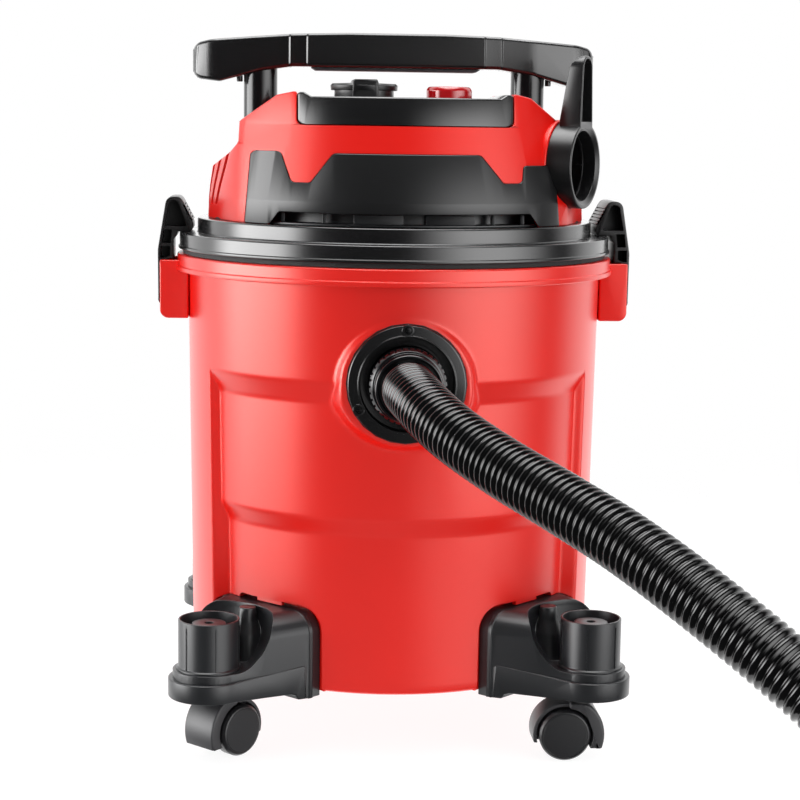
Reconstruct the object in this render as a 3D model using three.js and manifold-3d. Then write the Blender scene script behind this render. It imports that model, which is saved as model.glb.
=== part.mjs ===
// Shop vacuum: a round tank on four castor feet, a motor head on a lid that two latches hold down,
// a carrying handle, a blower port and a suction hose.
// Millimetres, +Z up. The front faces -Y, and the origin is on the floor under the tank's middle.
import * as THREE from "three";
import { mergeVertices } from "three/addons/utils/BufferGeometryUtils.js";
import Module from "manifold-3d";

const wasm = await Module();
wasm.setup();

// ---------- Driving dimensions ----------

const gap = 0.3; // between two pieces that touch
const slack = 0.5; // between a moving piece and what guides it
const far = 800; // reach of a cutting block past the object
const round = 40; // sides of a large turned shape
const medium = 20; // sides of a hand-sized turned shape
const small = 10; // sides of a pin, screw or stem
const inletSides = 24; // sides of the inlet, its hole and its seal

const tank = {
  height: 329.2, // from its underside to its rim
  drop: 1.2, // its underside below the feet's plates
  baseRadius: 163.1,
  taper: 0.0143, // growth of the radius per mm of height
  wall: 3,
  recessSide: 76, // the front and rear recess lie beyond this distance from the middle plane
  recessTop: 86.8, // below the rim
  recessBevel: 15.2,
  upperPanelDepth: 7,
  stepHeight: 137.2, // top of the step between the two panels, above the underside
  stepBevel: 12,
  lowerPanelDepth: 12,
};
const rim = { overhang: 9.7, depth: 13, ribDepth: 3.6, skirt: 3 };
const seal = { height: 3.4, inset: 10.5, width: 5 }; // the inset is from the rim's edge
const lid = { lip: 2, flangeHeight: 13, stepWidth: 14.5, stepHeight: 12, deck: 3, skirtDepth: 10 };
const well = { clearance: 7, wall: 3, depth: 55, eye: 28 }; // the cup in the lid that holds the motor
const head = {
  inset: 3, // from the lid's upper step
  wall: 3.5,
  crease: 18, // height of the vertical band at its foot
  deck: 60.5, // height of the rear deck
  top: 99.6,
  towerInset: 35.5, // from the head's radius to the front tower's side, at its foot
  shoulderLean: 4.9, // the tower's shoulder outside its foot
  towerBack: 1, // in front of the middle plane
  sideInset: 6,
  sideFlat: 25, // half-length of the flat side
};
const fascia = { thickness: 2.2, proud: 0.6 };
const panel = { inset: 40, drop: 24.3, top: 3.6, back: 8, wall: 2.5 };
const knob = { x: -29, back: 54, capRadius: 26.3, neckRadius: 23.2, neck: 5.3, cap: 5.4, bar: 20 };
const button = { x: 37.4, back: 54, radius: 18, rise: 10.2, travel: 3, flange: 2 };
const spindle = { radius: 3, depth: 12 };
const port = { azimuth: 60.2, height: 46, radius: 31, wall: 4, ringProud: 2, ring: 8, out: 8, in: 39 };
const hook = { width: 27, topWidth: 20, rise: 84.5, depth: 14, wall: 2.2 };
const handle = {
  halfLength: 165,
  height: 148.7, // top of the bar above the lid
  tubeX: 109.6,
  tubeY: 21,
  tubeRadius: 13.75,
  tubeSocket: 35, // how deep the tube stands in the head
  tubeEntry: 11, // how far it reaches into the bar
  wall: 3.25, // of the bar round a tube
  gripHalf: 69,
  gripDrop: 2.4,
};
const inlet = {
  drop: 85.4, // its axis below the rim
  padRadius: 46.8,
  padProud: 0.714, // the pad's face in front of the tank's wall
  holeRadius: 37.4,
  flangeRadius: 44.2,
  flange: 4.2,
  bore: 28.2,
  tubeRadius: 33,
  tubeIn: 28,
  screwCircle: 40.3,
};
const screw = { radius: 1.6, headRadius: 3.2, head: 1.6, length: 12 };
const cuff = { radius: 27.8, rimRadius: 28.8, rim: 10, sleeveRadius: 25, sleeve: 9.7, inside: 27, bore: 18.5 };
const hoseRadius = 20.5;
const hoseEnd = { radius: 23.5, length: 62, taperLength: 48, tipRadius: 19, bore: 16 };
const latch = {
  width: 42,
  boxHeight: 46.8,
  boxTop: 5.2, // below the rim's top
  boxOut: 12, // past the rim's skirt
  boxHalf: 26,
  boxCorner: 7,
  pinDrop: 37,
  pinOut: 9,
  pinRadius: 2,
  knuckle: 4.5,
};
const foot = {
  reach: 44.2, // the cup's axis outside the tank's base radius
  pocket: 15.4, // the pocket's flat inside the tank's base radius
  pocketHalf: 54,
  pocketRise: 68.7, // this and the other rises are above the plate's underside
  pocketCorner: 14,
  plate: 14.5, // thickness of the plate round the cup
  ledgeRise: 21,
  rise: 65.5,
  noseRadius: 31,
  ledgeRadius: 27.5,
  cupRadius: 23.3,
  cupWall: 2,
  cupRise: 59.5,
  cupFloorRise: 34,
  postRadius: 13,
  postRise: 53.5,
  edge: 8,
};
const castor = {
  wheelRadius: 20,
  wheelOuter: 17,
  wheelInner: 5,
  trail: 20,
  hoodClearance: 1.8, // round the wheels
  hoodWall: 2.7,
  headroom: 5.5, // from the hood's top to the foot's plate
  hoodHalf: 12.5,
  noseRadius: 15,
  stemRadius: 5,
  stemRise: 42, // above the foot's underside
  axleRadius: 2.4,
};
const motor = { radius: 68, height: 98, fanHeight: 42, bodyRadius: 46, wall: 3.5, shaft: 5 };
const gasket = 3; // thickness of the ring under the motor
const cage = { radius: 57, wall: 3, height: 104, seat: 20 };
const floatRadius = 24;
const filter = { clearance: 1.5, thickness: 23.5, flange: 2 }; // the flange reaches past the filter
const gland = { radius: 9, bore: 3.6, flangeRadius: 13, height: 22, length: 24 };

// ---------- Heights and radii that follow from them ----------

const hoodRadius = castor.wheelRadius + castor.hoodClearance + castor.hoodWall;
const plateBottom = castor.wheelRadius + hoodRadius + castor.headroom;
const plateTop = plateBottom + foot.plate;
const ledgeTop = plateBottom + foot.ledgeRise;
const footTop = plateBottom + foot.rise;
const cupTop = plateBottom + foot.cupRise;
const cupFloor = plateBottom + foot.cupFloorRise;
const postTop = plateBottom + foot.postRise;
const stemTop = plateBottom + castor.stemRise;
const pocketTop = plateBottom + foot.pocketRise;
const tankFloor = plateBottom - tank.drop;
const rimTop = tankFloor + tank.height;
const tankRadiusAt = (z) => tank.baseRadius + tank.taper * (z - tankFloor);
const rimRadius = tankRadiusAt(rimTop) + rim.overhang;
const lidBottom = rimTop + seal.height + 2 * gap;
const lidShelf = lidBottom + lid.flangeHeight;
const lidTop = lidShelf + lid.stepHeight;
const stepRadius = rimRadius - 3 - lid.stepWidth;
const headRadius = stepRadius - head.inset;
const headHalf = headRadius - head.sideInset;
const towerFoot = headRadius - head.towerInset;
const towerShoulder = towerFoot + head.shoulderLean;
const wellRadius = motor.radius + well.clearance;
const wellFloor = lidTop - well.depth;
const filterInner = cage.radius + filter.clearance;
const filterOuter = filterInner + filter.thickness;
const cageFlange = filterOuter + filter.flange;
const portRing = port.radius + port.ringProud;
const panelHalf = towerFoot - panel.inset;
const panelTop = lidTop + head.top - panel.top;
const panelBottom = lidTop + head.top - panel.drop;
const inletHeight = rimTop - inlet.drop;
const padY = tankRadiusAt(inletHeight) + inlet.padProud;
const flangeY = padY + 1.3;
const footAxis = tank.baseRadius + foot.reach;
const pocketFlat = tank.baseRadius - foot.pocket;
const recessHigh = rimTop - tank.recessTop;
const stepHigh = tankFloor + tank.stepHeight;

// ---------- Shape helpers ----------

// A closed three.js geometry as a manifold-3d solid.
function solid(geometry) {
  const bare = new THREE.BufferGeometry();
  bare.setAttribute("position", geometry.getAttribute("position"));
  bare.setIndex(geometry.index);
  const merged = mergeVertices(bare, 1e-4);
  const corners = merged.index.array;
  const triangles = [];
  for (let i = 0; i < corners.length; i += 3) {
    const [a, b, c] = [corners[i], corners[i + 1], corners[i + 2]];
    if (a !== b && b !== c && c !== a) triangles.push(a, b, c);
  }
  const vertProperties = new Float32Array(merged.getAttribute("position").array);
  const triVerts = new Uint32Array(triangles);
  return new wasm.Manifold(new wasm.Mesh({ numProp: 3, vertProperties, triVerts }));
}

// A manifold-3d solid as a geometry that a mesh can show.
function geometryOf(made) {
  const result = made.getMesh();
  const geometry = new THREE.BufferGeometry();
  geometry.setAttribute("position", new THREE.BufferAttribute(result.vertProperties, 3));
  geometry.setIndex(new THREE.BufferAttribute(result.triVerts, 1));
  return geometry;
}

// A box between two corners.
function box(x0, x1, y0, y1, z0, z1) {
  const middle = [(x0 + x1) / 2, (y0 + y1) / 2, (z0 + z1) / 2];
  return new THREE.BoxGeometry(x1 - x0, y1 - y0, z1 - z0).translate(...middle);
}

// A cylinder or cone about Z.
function rod(radius, z0, z1, sides = small, topRadius = radius) {
  const shape = new THREE.CylinderGeometry(topRadius, radius, z1 - z0, sides);
  return shape.rotateX(Math.PI / 2).translate(0, 0, (z0 + z1) / 2);
}

// A turned shape about Z. The profile lists [radius, height] and closes on itself or on the axis.
function turned(profile, sides = round) {
  const points = profile.map(([r, z]) => new THREE.Vector2(r, z));
  const onAxis = profile[0][0] === 0 && profile.at(-1)[0] === 0;
  if (!onAxis) points.push(points[0].clone());
  if (THREE.ShapeUtils.area(points) > 0) points.reverse();
  return new THREE.LatheGeometry(points.reverse(), sides).rotateX(Math.PI / 2);
}

// An outline of [a, b] or [a, b, corner radius] points as a shape with rounded corners.
function outline(points) {
  const shape = new THREE.Shape();
  points.forEach(([a, b, radius = 0], i) => {
    const corner = new THREE.Vector2(a, b);
    if (radius === 0) {
      if (i === 0) shape.moveTo(a, b);
      else shape.lineTo(a, b);
      return;
    }
    const before = new THREE.Vector2(...points.at(i - 1).slice(0, 2)).sub(corner);
    const after = new THREE.Vector2(...points[(i + 1) % points.length].slice(0, 2)).sub(corner);
    const half = Math.abs(before.angleTo(after)) / 2;
    const back = Math.min(radius / Math.tan(half), before.length() / 2, after.length() / 2);
    const start = before.setLength(back).add(corner);
    const end = after.setLength(back).add(corner);
    if (i === 0) shape.moveTo(start.x, start.y);
    else shape.lineTo(start.x, start.y);
    shape.quadraticCurveTo(a, b, end.x, end.y);
  });
  return shape;
}

// The axes that an outline's first and second number and its depth run along.
const planes = {
  xy: [new THREE.Vector3(1, 0, 0), new THREE.Vector3(0, 1, 0), new THREE.Vector3(0, 0, 1)],
  xz: [new THREE.Vector3(1, 0, 0), new THREE.Vector3(0, 0, 1), new THREE.Vector3(0, -1, 0)],
  yz: [new THREE.Vector3(0, 1, 0), new THREE.Vector3(0, 0, 1), new THREE.Vector3(1, 0, 0)],
};

// An outline in a plane, extruded across it from low to high.
function prism(plane, points, low, high, curveSegments = 4) {
  const options = { depth: high - low, bevelEnabled: false, curveSegments };
  const shape = new THREE.ExtrudeGeometry(outline(points), options);
  shape.translate(0, 0, plane === "xz" ? -high : low);
  return shape.applyMatrix4(new THREE.Matrix4().makeBasis(...planes[plane]));
}

// The right half of an outline, bottom to top, with its mirror image.
function mirrored(half) {
  const left = half.map(([a, ...rest]) => [-a, ...rest]).reverse();
  return [...half, ...left];
}

// A closed outline moved outward by a distance.
function grown(points, distance) {
  const area = THREE.ShapeUtils.area(points.map(([a, b]) => new THREE.Vector2(a, b)));
  const side = Math.sign(area) * distance;
  return points.map(([a, b, radius = 0], i) => {
    const corner = new THREE.Vector2(a, b);
    const into = corner.clone().sub(new THREE.Vector2(...points.at(i - 1).slice(0, 2))).normalize();
    const next = new THREE.Vector2(...points[(i + 1) % points.length].slice(0, 2));
    const away = next.sub(corner).normalize();
    const turn = into.cross(away);
    const dot = into.dot(away);
    const move = new THREE.Vector2(into.y + away.y, -into.x - away.x).multiplyScalar(side / (1 + dot));
    return [a + move.x, b + move.y, Math.max(radius + Math.sign(turn) * side, 0)];
  });
}

// All of several geometries as one solid.
function joined(...geometries) {
  return geometries.map(solid).reduce((all, one) => all.add(one));
}

// Turns a shape made about Z so that its +Z points level at an azimuth from the front, and its +Y up.
function aimed(geometry, azimuth, height) {
  const angle = THREE.MathUtils.degToRad(azimuth);
  return geometry.rotateX(Math.PI / 2).rotateZ(angle).translate(0, 0, height);
}

// ---------- Materials ----------

const looks = {
  red: { color: 0xe03028, roughness: 0.38, metalness: 0 },
  black: { color: 0x1d1d1f, roughness: 0.42, metalness: 0 },
  charcoal: { color: 0x2b2c2e, roughness: 0.5, metalness: 0 },
  gloss: { color: 0x101012, roughness: 0.15, metalness: 0 },
  buttonRed: { color: 0xb81620, roughness: 0.2, metalness: 0 },
  rubber: { color: 0x161616, roughness: 0.8, metalness: 0 },
  steel: { color: 0xb9bcc0, roughness: 0.3, metalness: 1 },
  paper: { color: 0xe8e4d8, roughness: 0.9, metalness: 0 },
  white: { color: 0xf0f0ee, roughness: 0.4, metalness: 0 },
};

const vacuum = new THREE.Group();

// Adds one named sub-part to a group.
function place(name, shape, look, parent = vacuum) {
  const geometry = shape.isBufferGeometry ? shape : geometryOf(shape);
  const mesh = new THREE.Mesh(geometry, new THREE.MeshStandardMaterial(looks[look]));
  mesh.name = name;
  parent.add(mesh);
  return mesh;
}

// ---------- Tank ----------

// The round form that the recesses leave, with every wall moved in by an inset.
function recessCore(inset) {
  const r = (z, depth) => tankRadiusAt(z) - depth - inset;
  const low = tankFloor - 10;
  const past = 0.5; // share by which the bevel runs on past the tank's surface
  return turned([
    [0, low],
    [r(tankFloor, tank.lowerPanelDepth), low],
    [r(stepHigh - tank.stepBevel, tank.lowerPanelDepth), stepHigh - tank.stepBevel],
    [r(stepHigh, tank.upperPanelDepth), stepHigh],
    [r(recessHigh, tank.upperPanelDepth), recessHigh - tank.recessBevel],
    [r(recessHigh, -past * tank.upperPanelDepth), recessHigh + past * tank.recessBevel],
    [0, recessHigh + past * tank.recessBevel],
  ]);
}

// What the front or rear recess takes off the round form.
function recess(side, inset) {
  const block = box(-far, far, tank.recessSide - inset, far, tankFloor - 5, recessHigh + 5);
  if (side < 0) block.rotateZ(Math.PI);
  return solid(block).subtract(solid(recessCore(inset)));
}

// The pocket under the tank's corner that takes a foot.
function footPocket(quarter, inset) {
  const half = foot.pocketHalf + inset;
  const top = pocketTop + inset;
  const corner = foot.pocketCorner + inset;
  const arch = mirrored([
    [half, tankFloor - 10],
    [half, top, corner],
  ]);
  const block = prism("xz", arch, -far, inset - pocketFlat);
  return solid(block.rotateZ(THREE.MathUtils.degToRad(45 + 90 * quarter)));
}

// The small ledge of the tank above a foot.
function footTab(quarter) {
  const tab = box(-17, 17, -pocketFlat - 4.5, -pocketFlat + 1, pocketTop - 2.6, pocketTop + 1);
  return solid(tab.rotateZ(THREE.MathUtils.degToRad(45 + 90 * quarter)));
}

// The box at the tank's side that carries a latch, made for the right side.
function latchBox() {
  const top = rimTop - latch.boxTop;
  const outside = rimRadius + latch.boxOut;
  const inside = tankRadiusAt(top) - 1;
  const block = prism("xz", [
    [inside, top - latch.boxHeight],
    [outside, top - latch.boxHeight, latch.boxCorner],
    [outside, top, 1.5],
    [inside, top],
  ], -latch.boxHalf, latch.boxHalf);
  const channel = latch.width / 2 + slack;
  const cut = box(inside + 4, far, -channel, channel, top - latch.boxHeight + 7, top + 1);
  const bore = rod(latch.pinRadius + 0.2, -26.5, latch.boxHalf - 1).rotateX(Math.PI / 2);
  bore.translate(rimRadius + latch.pinOut, 0, rimTop - latch.pinDrop);
  return solid(block).subtract(solid(cut)).subtract(solid(bore));
}

// The raised pad that the hose inlet is screwed to.
function inletPad() {
  return aimed(rod(inlet.padRadius + 12.4, padY - 20, padY, round, inlet.padRadius), 0, inletHeight);
}

function makeTank() {
  const base = tankFloor;
  const r = tankRadiusAt;
  const ribTop = rimTop - rim.depth + rim.ribDepth;
  const outer = solid(turned([
    [0, base],
    [r(base) - 4, base],
    [r(base), base + 4],
    [r(rimTop - rim.depth), rimTop - rim.depth],
    [rimRadius, rimTop - rim.depth],
    [rimRadius, ribTop],
    [rimRadius - 1, ribTop + 0.4],
    [rimRadius - 1, rimTop - 1.4],
    [rimRadius - 2.4, rimTop],
    [0, rimTop],
  ]));
  const hollow = solid(turned([
    [0, base + tank.wall],
    [r(base) - tank.wall, base + tank.wall],
    [r(rimTop) - tank.wall, rimTop],
    [r(rimTop) - tank.wall, rimTop + 1],
    [0, rimTop + 1],
  ]));
  const gutter = solid(turned([
    [r(rimTop) + 0.6, rimTop - rim.depth - 1],
    [rimRadius - rim.skirt, rimTop - rim.depth - 1],
    [rimRadius - rim.skirt, rimTop - rim.skirt],
    [r(rimTop) + 0.6, rimTop - rim.skirt],
  ]));
  let body = outer.subtract(gutter);
  let inside = hollow;
  const pad = solid(inletPad());
  for (const side of [-1, 1]) {
    body = body.subtract(recess(side, 0));
    inside = inside.subtract(recess(side, tank.wall));
  }
  body = body.add(pad);
  inside = inside.subtract(solid(aimed(rod(inlet.padRadius, padY - 11, padY, round), 0, inletHeight)));
  for (const quarter of [0, 1, 2, 3]) {
    body = body.subtract(footPocket(quarter, 0));
    inside = inside.subtract(footPocket(quarter, tank.wall));
    body = body.add(footTab(quarter));
  }
  const left = latchBox();
  const right = solid(geometryOf(left).rotateZ(Math.PI));
  const hole = solid(aimed(rod(inlet.holeRadius, padY - 40, padY + 5, inletSides), 0, inletHeight));
  let made = body.add(left).add(right).subtract(inside).subtract(hole);
  for (const turn of [0, 1, 2]) made = made.subtract(solid(screwShape(turn, slack - 0.2, padY - 9)));
  return made;
}

// ---------- Hose inlet ----------

// A plain cylinder where an inlet screw goes, from a depth to past the flange's face.
function screwShape(turn, extra, from) {
  const shank = rod(screw.radius + extra, from, padY + 12, 12).translate(0, inlet.screwCircle, 0);
  return aimed(shank.rotateZ(THREE.MathUtils.degToRad(120 * turn)), 0, inletHeight);
}

function inletFlange() {
  const face = flangeY + inlet.flange;
  const made = solid(aimed(turned([
    [inlet.bore, flangeY - inlet.tubeIn],
    [inlet.tubeRadius, flangeY - inlet.tubeIn],
    [inlet.tubeRadius, flangeY - 8],
    [inlet.holeRadius - gap, flangeY - 7],
    [inlet.holeRadius - gap, flangeY],
    [inlet.flangeRadius, flangeY],
    [inlet.flangeRadius, face - 0.8],
    [inlet.flangeRadius - 0.8, face],
    [36.5, face],
    [36.5, face + 1],
    [35.3, face + 1],
    [35.3, face - 7],
    [inlet.bore, face - 7],
  ], inletSides), 0, inletHeight));
  return [0, 1, 2].reduce((left, turn) => left.subtract(solid(screwShape(turn, 0.3, padY - 9))), made);
}

function inletGasket() {
  const made = solid(aimed(turned([
    [inlet.holeRadius, padY + gap],
    [inlet.flangeRadius + 1, padY + gap],
    [inlet.flangeRadius + 1, flangeY - gap],
    [inlet.holeRadius, flangeY - gap],
  ], inletSides), 0, inletHeight));
  return [0, 1, 2].reduce((left, turn) => left.subtract(solid(screwShape(turn, 0.3, padY - 9))), made);
}

function inletScrew(turn) {
  const face = flangeY + inlet.flange + gap;
  const shape = turned([
    [0, face - screw.length],
    [screw.radius, face - screw.length],
    [screw.radius, face],
    [screw.headRadius, face],
    [screw.headRadius, face + screw.head * 0.5],
    [screw.headRadius * 0.7, face + screw.head],
    [0, face + screw.head],
  ], 12).translate(0, inlet.screwCircle, 0);
  return aimed(shape.rotateZ(THREE.MathUtils.degToRad(120 * turn)), 0, inletHeight);
}

// The hood behind the inlet that turns the air along the tank's wall.
function inletDeflector() {
  const end = flangeY - inlet.tubeIn;
  const radius = inlet.tubeRadius + gap;
  const wall = 2.5;
  const hood = solid(turned([
    [0, end - 34],
    [radius + wall - 6, end - 34],
    [radius + wall, end - 28],
    [radius + wall, end + 9],
    [radius, end + 9],
    [radius, end - 26],
    [radius - 6, end - 31.5],
    [0, end - 31.5],
  ], inletSides));
  const mouth = solid(box(-far, -4, -20, 20, end - 28, end - 2));
  return solid(aimed(geometryOf(hood.subtract(mouth)), 0, inletHeight));
}

// ---------- Lid ----------

function makeLid() {
  const flangeRadius = rimRadius - 3;
  const skirt = tankRadiusAt(rimTop) - tank.wall - 1.7;
  const deckUnder = lidTop - lid.deck;
  const wellOuter = wellRadius + well.wall;
  return turned([
    [skirt, lidBottom - lid.skirtDepth],
    [skirt, lidBottom],
    [rimRadius - 2, lidBottom],
    [rimRadius - 2, lidBottom + lid.lip],
    [flangeRadius, lidBottom + lid.lip + 0.8],
    [flangeRadius, lidShelf - 0.6],
    [flangeRadius - 0.6, lidShelf],
    [stepRadius, lidShelf],
    [stepRadius, lidTop - 1],
    [stepRadius - 1, lidTop],
    [wellRadius, lidTop],
    [wellRadius, wellFloor],
    [well.eye, wellFloor],
    [well.eye, wellFloor - well.wall],
    [wellOuter, wellFloor - well.wall],
    [wellOuter, deckUnder],
    [stepRadius - 3, deckUnder],
    [stepRadius - 3, lidShelf - 3],
    [skirt - 3, lidBottom - lid.skirtDepth],
  ]);
}

function lidSeal() {
  const low = rimTop + gap;
  return turned([
    [rimRadius - seal.inset, low],
    [rimRadius - seal.inset + seal.width, low],
    [rimRadius - seal.inset + seal.width, low + seal.height],
    [rimRadius - seal.inset, low + seal.height],
  ]);
}

// ---------- Motor, filter and float under the lid ----------

const motorFoot = wellFloor + gasket + 2 * gap;

function motorGasket() {
  return turned([
    [54, wellFloor + gap],
    [motor.radius, wellFloor + gap],
    [motor.radius, wellFloor + gap + gasket],
    [54, wellFloor + gap + gasket],
  ], medium);
}

function motorHousing() {
  const fanTop = motorFoot + motor.fanHeight;
  const top = motorFoot + motor.height;
  return turned([
    [well.eye, motorFoot],
    [motor.radius, motorFoot],
    [motor.radius, fanTop - 3],
    [motor.radius - 3, fanTop],
    [motor.bodyRadius, fanTop + 4],
    [motor.bodyRadius, top - 8],
    [motor.bodyRadius - 14, top],
    [motor.shaft + slack, top],
    [motor.shaft + slack, fanTop - motor.wall],
    [motor.radius - motor.wall, fanTop - motor.wall],
    [motor.radius - motor.wall, motorFoot + motor.wall],
    [well.eye, motorFoot + motor.wall],
  ], medium);
}

// The shaft with its fan: a back plate and curved-out blades.
function motorRotor() {
  const low = motorFoot + motor.wall + 3;
  const plate = motorFoot + motor.fanHeight - motor.wall - 5;
  const tip = motor.radius - motor.wall - 4;
  let made = joined(
    rod(motor.shaft, low, motorFoot + motor.height + 4),
    rod(tip, plate, plate + 2, medium),
    rod(10, low, plate + 1),
  );
  const blades = 8;
  for (let i = 0; i < blades; i++) {
    const blade = box(8, tip - 1, -1, 1, low + 6, plate + 0.5).rotateZ((i * 2 * Math.PI) / blades);
    made = made.add(solid(blade));
  }
  return made;
}

const cageTop = wellFloor - well.wall - gap;
const cageFloor = cageTop - cage.height;

// The open basket that the float rides in and the filter slides over.
function filterCage() {
  const inner = cage.radius - cage.wall;
  let made = solid(turned([
    [cage.seat, cageTop - 3],
    [inner, cageTop - 3],
    [inner, cageFloor + 3],
    [0, cageFloor + 3],
    [0, cageFloor],
    [cage.radius, cageFloor],
    [cage.radius, cageTop - 3],
    [cageFlange, cageTop - 3],
    [cageFlange, cageTop],
    [cage.seat, cageTop],
  ], medium));
  const windows = 6;
  for (let i = 0; i < windows; i++) {
    const cut = box(20, far, -20, 20, cageFloor + 12, cageTop - 16);
    made = made.subtract(solid(cut.rotateZ((i * 2 * Math.PI) / windows)));
  }
  return made;
}

function cartridgeFilter() {
  return turned([
    [filterInner, cageFloor],
    [filterOuter, cageFloor],
    [filterOuter, cageTop - 3 - gap],
    [filterInner, cageTop - 3 - gap],
  ], medium);
}

// The plate that holds the filter up, with a finger grip under it.
function filterRetainer() {
  const top = cageFloor - gap;
  const plate = joined(
    rod(cageFlange, top - 3, top, medium),
    rod(16, top - 14, top - 2, small),
    box(-30, 30, -2.5, 2.5, top - 13, top - 2),
  );
  return plate;
}

function floatBall() {
  const ball = new THREE.SphereGeometry(floatRadius, 16, 10).rotateX(Math.PI / 2);
  return solid(ball.translate(0, 0, cageFloor + 3 + gap + floatRadius));
}

// ---------- Head ----------

// The head's round front and rear: radius at each height, moved out by an offset.
function headCone(offset, low = lidTop) {
  const profile = [
    [0, low],
    [headRadius + offset, low],
    [headRadius - 0.5 + offset, lidTop + head.crease],
    [headRadius - 8.5 + offset, lidTop + 55],
    [headRadius - 13 + offset, lidTop + 75],
    [headRadius - 17 + offset, lidTop + head.top + Math.max(offset, 0)],
    [0, lidTop + head.top + Math.max(offset, 0)],
  ];
  return solid(turned(profile));
}

// The head's outer form, with every face moved in by an inset.
function headForm(inset) {
  const low = inset > 0 ? lidTop - 1 : lidTop;
  const deck = lidTop + head.deck - inset;
  const top = lidTop + head.top;
  const tower = mirrored([
    [towerFoot - inset, low],
    [towerShoulder - inset, lidTop + head.deck - inset],
    [towerShoulder - 0.9 - inset, lidTop + 77 - inset],
    [towerFoot - 24.5 - inset, top - 2.6 - inset],
    [towerFoot - 37 - inset, top - inset],
  ]);
  const back = -head.towerBack - inset;
  const side = [
    [-far, low],
    [far, low],
    [far, deck - 15],
    [headRadius - 18 - inset, deck - 15],
    [headRadius - 57, deck],
    [back, deck],
    [back, top],
    [-far, top],
  ];
  const middle = headCone(-inset, low)
    .intersect(solid(prism("xz", tower, -far, far)))
    .intersect(solid(prism("yz", side, -far, far)));
  const corner = Math.sqrt(headRadius ** 2 - towerFoot ** 2);
  const plan = [
    [towerFoot, -corner + inset],
    [headHalf - inset, -head.sideFlat],
    [headHalf - inset, head.sideFlat],
    [towerFoot, corner - inset],
    [-towerFoot, corner - inset],
    [-headHalf + inset, head.sideFlat],
    [-headHalf + inset, -head.sideFlat],
    [-towerFoot, -corner + inset],
  ];
  const bulge = mirrored([
    [headHalf - inset, low],
    [headHalf - 1.5 - inset, lidTop + 24.5],
    [headHalf - 4.5 - inset, lidTop + 44],
    [headHalf - 11.5 - inset, lidTop + 50.7 - inset],
    [towerShoulder - inset, deck],
  ]);
  const sides = solid(prism("xy", plan, low, deck + 1)).intersect(solid(prism("xz", bulge, -far, far)));
  return middle.add(sides);
}

// The notch in the tower that the control panel fills.
function panelNotch(inset) {
  const half = panelHalf + gap + inset;
  return solid(box(-half, half, -far, -panel.back + gap + inset, panelBottom - gap - inset, far * 2));
}

// A cylinder along the blower port's axis.
function portRod(radius, from, to, sides = medium) {
  return solid(aimed(rod(radius, headRadius + from, headRadius + to, sides), port.azimuth, lidTop + port.height));
}

// The fascia's outline seen from the front.
function fasciaOutline() {
  const z = lidTop;
  return [
    [-towerFoot + 0.5, z + gap],
    [-102.5, z + gap],
    [-95, z + 10, 3],
    [95, z + 10, 3],
    [102.5, z + gap],
    [towerFoot - 0.5, z + gap],
    [towerFoot - 5, z + 46.3],
    [89.5, z + 46.3, 3],
    [88.5, z + 33, 4],
    [73, z + 33, 4],
    [55, z + 54, 4],
    [-55, z + 54, 4],
    [-72, z + 32, 4],
    [-86, z + 32, 4],
    [-94, z + 55, 4],
    [5 - towerFoot, z + 55, 4],
  ];
}

// The gap under the fascia that the exhaust air leaves through.
function exhaustGap() {
  return prism("xz", [
    [-101, lidTop - 1],
    [101, lidTop - 1],
    [94, lidTop + 10 - gap],
    [-94, lidTop + 10 - gap],
  ], -far, -40);
}

// One diagonal slot in a side bulge: it leans forward as it rises.
function ventSlot(step, sideX, sideY) {
  const topY = 75 - 12 * step;
  const footY = 47 - 7 * step;
  const points = [
    [sideY * footY, lidTop + 14],
    [sideY * (footY - 3.2), lidTop + 14],
    [sideY * (topY - 5), lidTop + 52],
    [sideY * topY, lidTop + 52],
  ];
  const near = towerShoulder + 2;
  return solid(sideX > 0 ? prism("yz", points, near, far) : prism("yz", points, -far, -near));
}

function turnedRound(made) {
  return solid(geometryOf(made).rotateZ(Math.PI));
}

function headShell() {
  const notch = panelNotch(0);
  let outer = headForm(0).subtract(notch);
  outer = outer.add(portRod(port.radius + 6, -port.in + 8, -9));
  const recessDepth = fascia.thickness - fascia.proud + gap;
  const skin = headCone(8).subtract(headCone(-recessDepth));
  const window = solid(prism("xz", grown(fasciaOutline(), gap), -far, -40));
  const seat = skin.intersect(window);
  const socket = handle.tubeRadius + 3.5;
  const low = lidTop + head.deck - handle.tubeSocket - 3;
  let inner = headForm(head.wall).subtract(panelNotch(head.wall));
  for (const side of [-1, 1]) {
    const boss = rod(socket, low, far * 2, medium).translate(side * handle.tubeX, handle.tubeY, 0);
    inner = inner.subtract(solid(boss));
  }
  inner = inner.subtract(portRod(port.radius + 6, -port.in + 8, 9));
  let made = outer.subtract(inner).subtract(seat).subtract(turnedRound(seat));
  made = made.subtract(solid(exhaustGap())).subtract(solid(exhaustGap().rotateZ(Math.PI)));
  for (const side of [-1, 1]) {
    const bore = rod(handle.tubeRadius + gap, low + 3, far * 2, medium);
    made = made.subtract(solid(bore.translate(side * handle.tubeX, handle.tubeY, 0)));
  }
  for (const step of [0, 1, 2]) {
    made = made.subtract(ventSlot(step, -1, -1));
    made = made.subtract(ventSlot(step, -1, 1));
    made = made.subtract(ventSlot(step, 1, 1));
  }
  made = made.subtract(portRod(port.radius + 0.4, -port.in - 1, 20));
  return made.subtract(glandRod(gland.radius + gap));
}

// A cylinder where the cable gland goes through the rear of the head.
function glandRod(radius) {
  return solid(aimed(rod(radius, headRadius - 60, headRadius + 60), 180, lidTop + gland.height));
}

// A black trim shell that lies in the head's front or rear.
function fasciaShell() {
  const skin = headCone(fascia.proud).subtract(headCone(fascia.proud - fascia.thickness));
  return skin.intersect(solid(prism("xz", fasciaOutline(), -far, -40)));
}

function frontFascia() {
  return fasciaShell().subtract(portRod(port.radius + slack, -port.in, 40));
}

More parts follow.
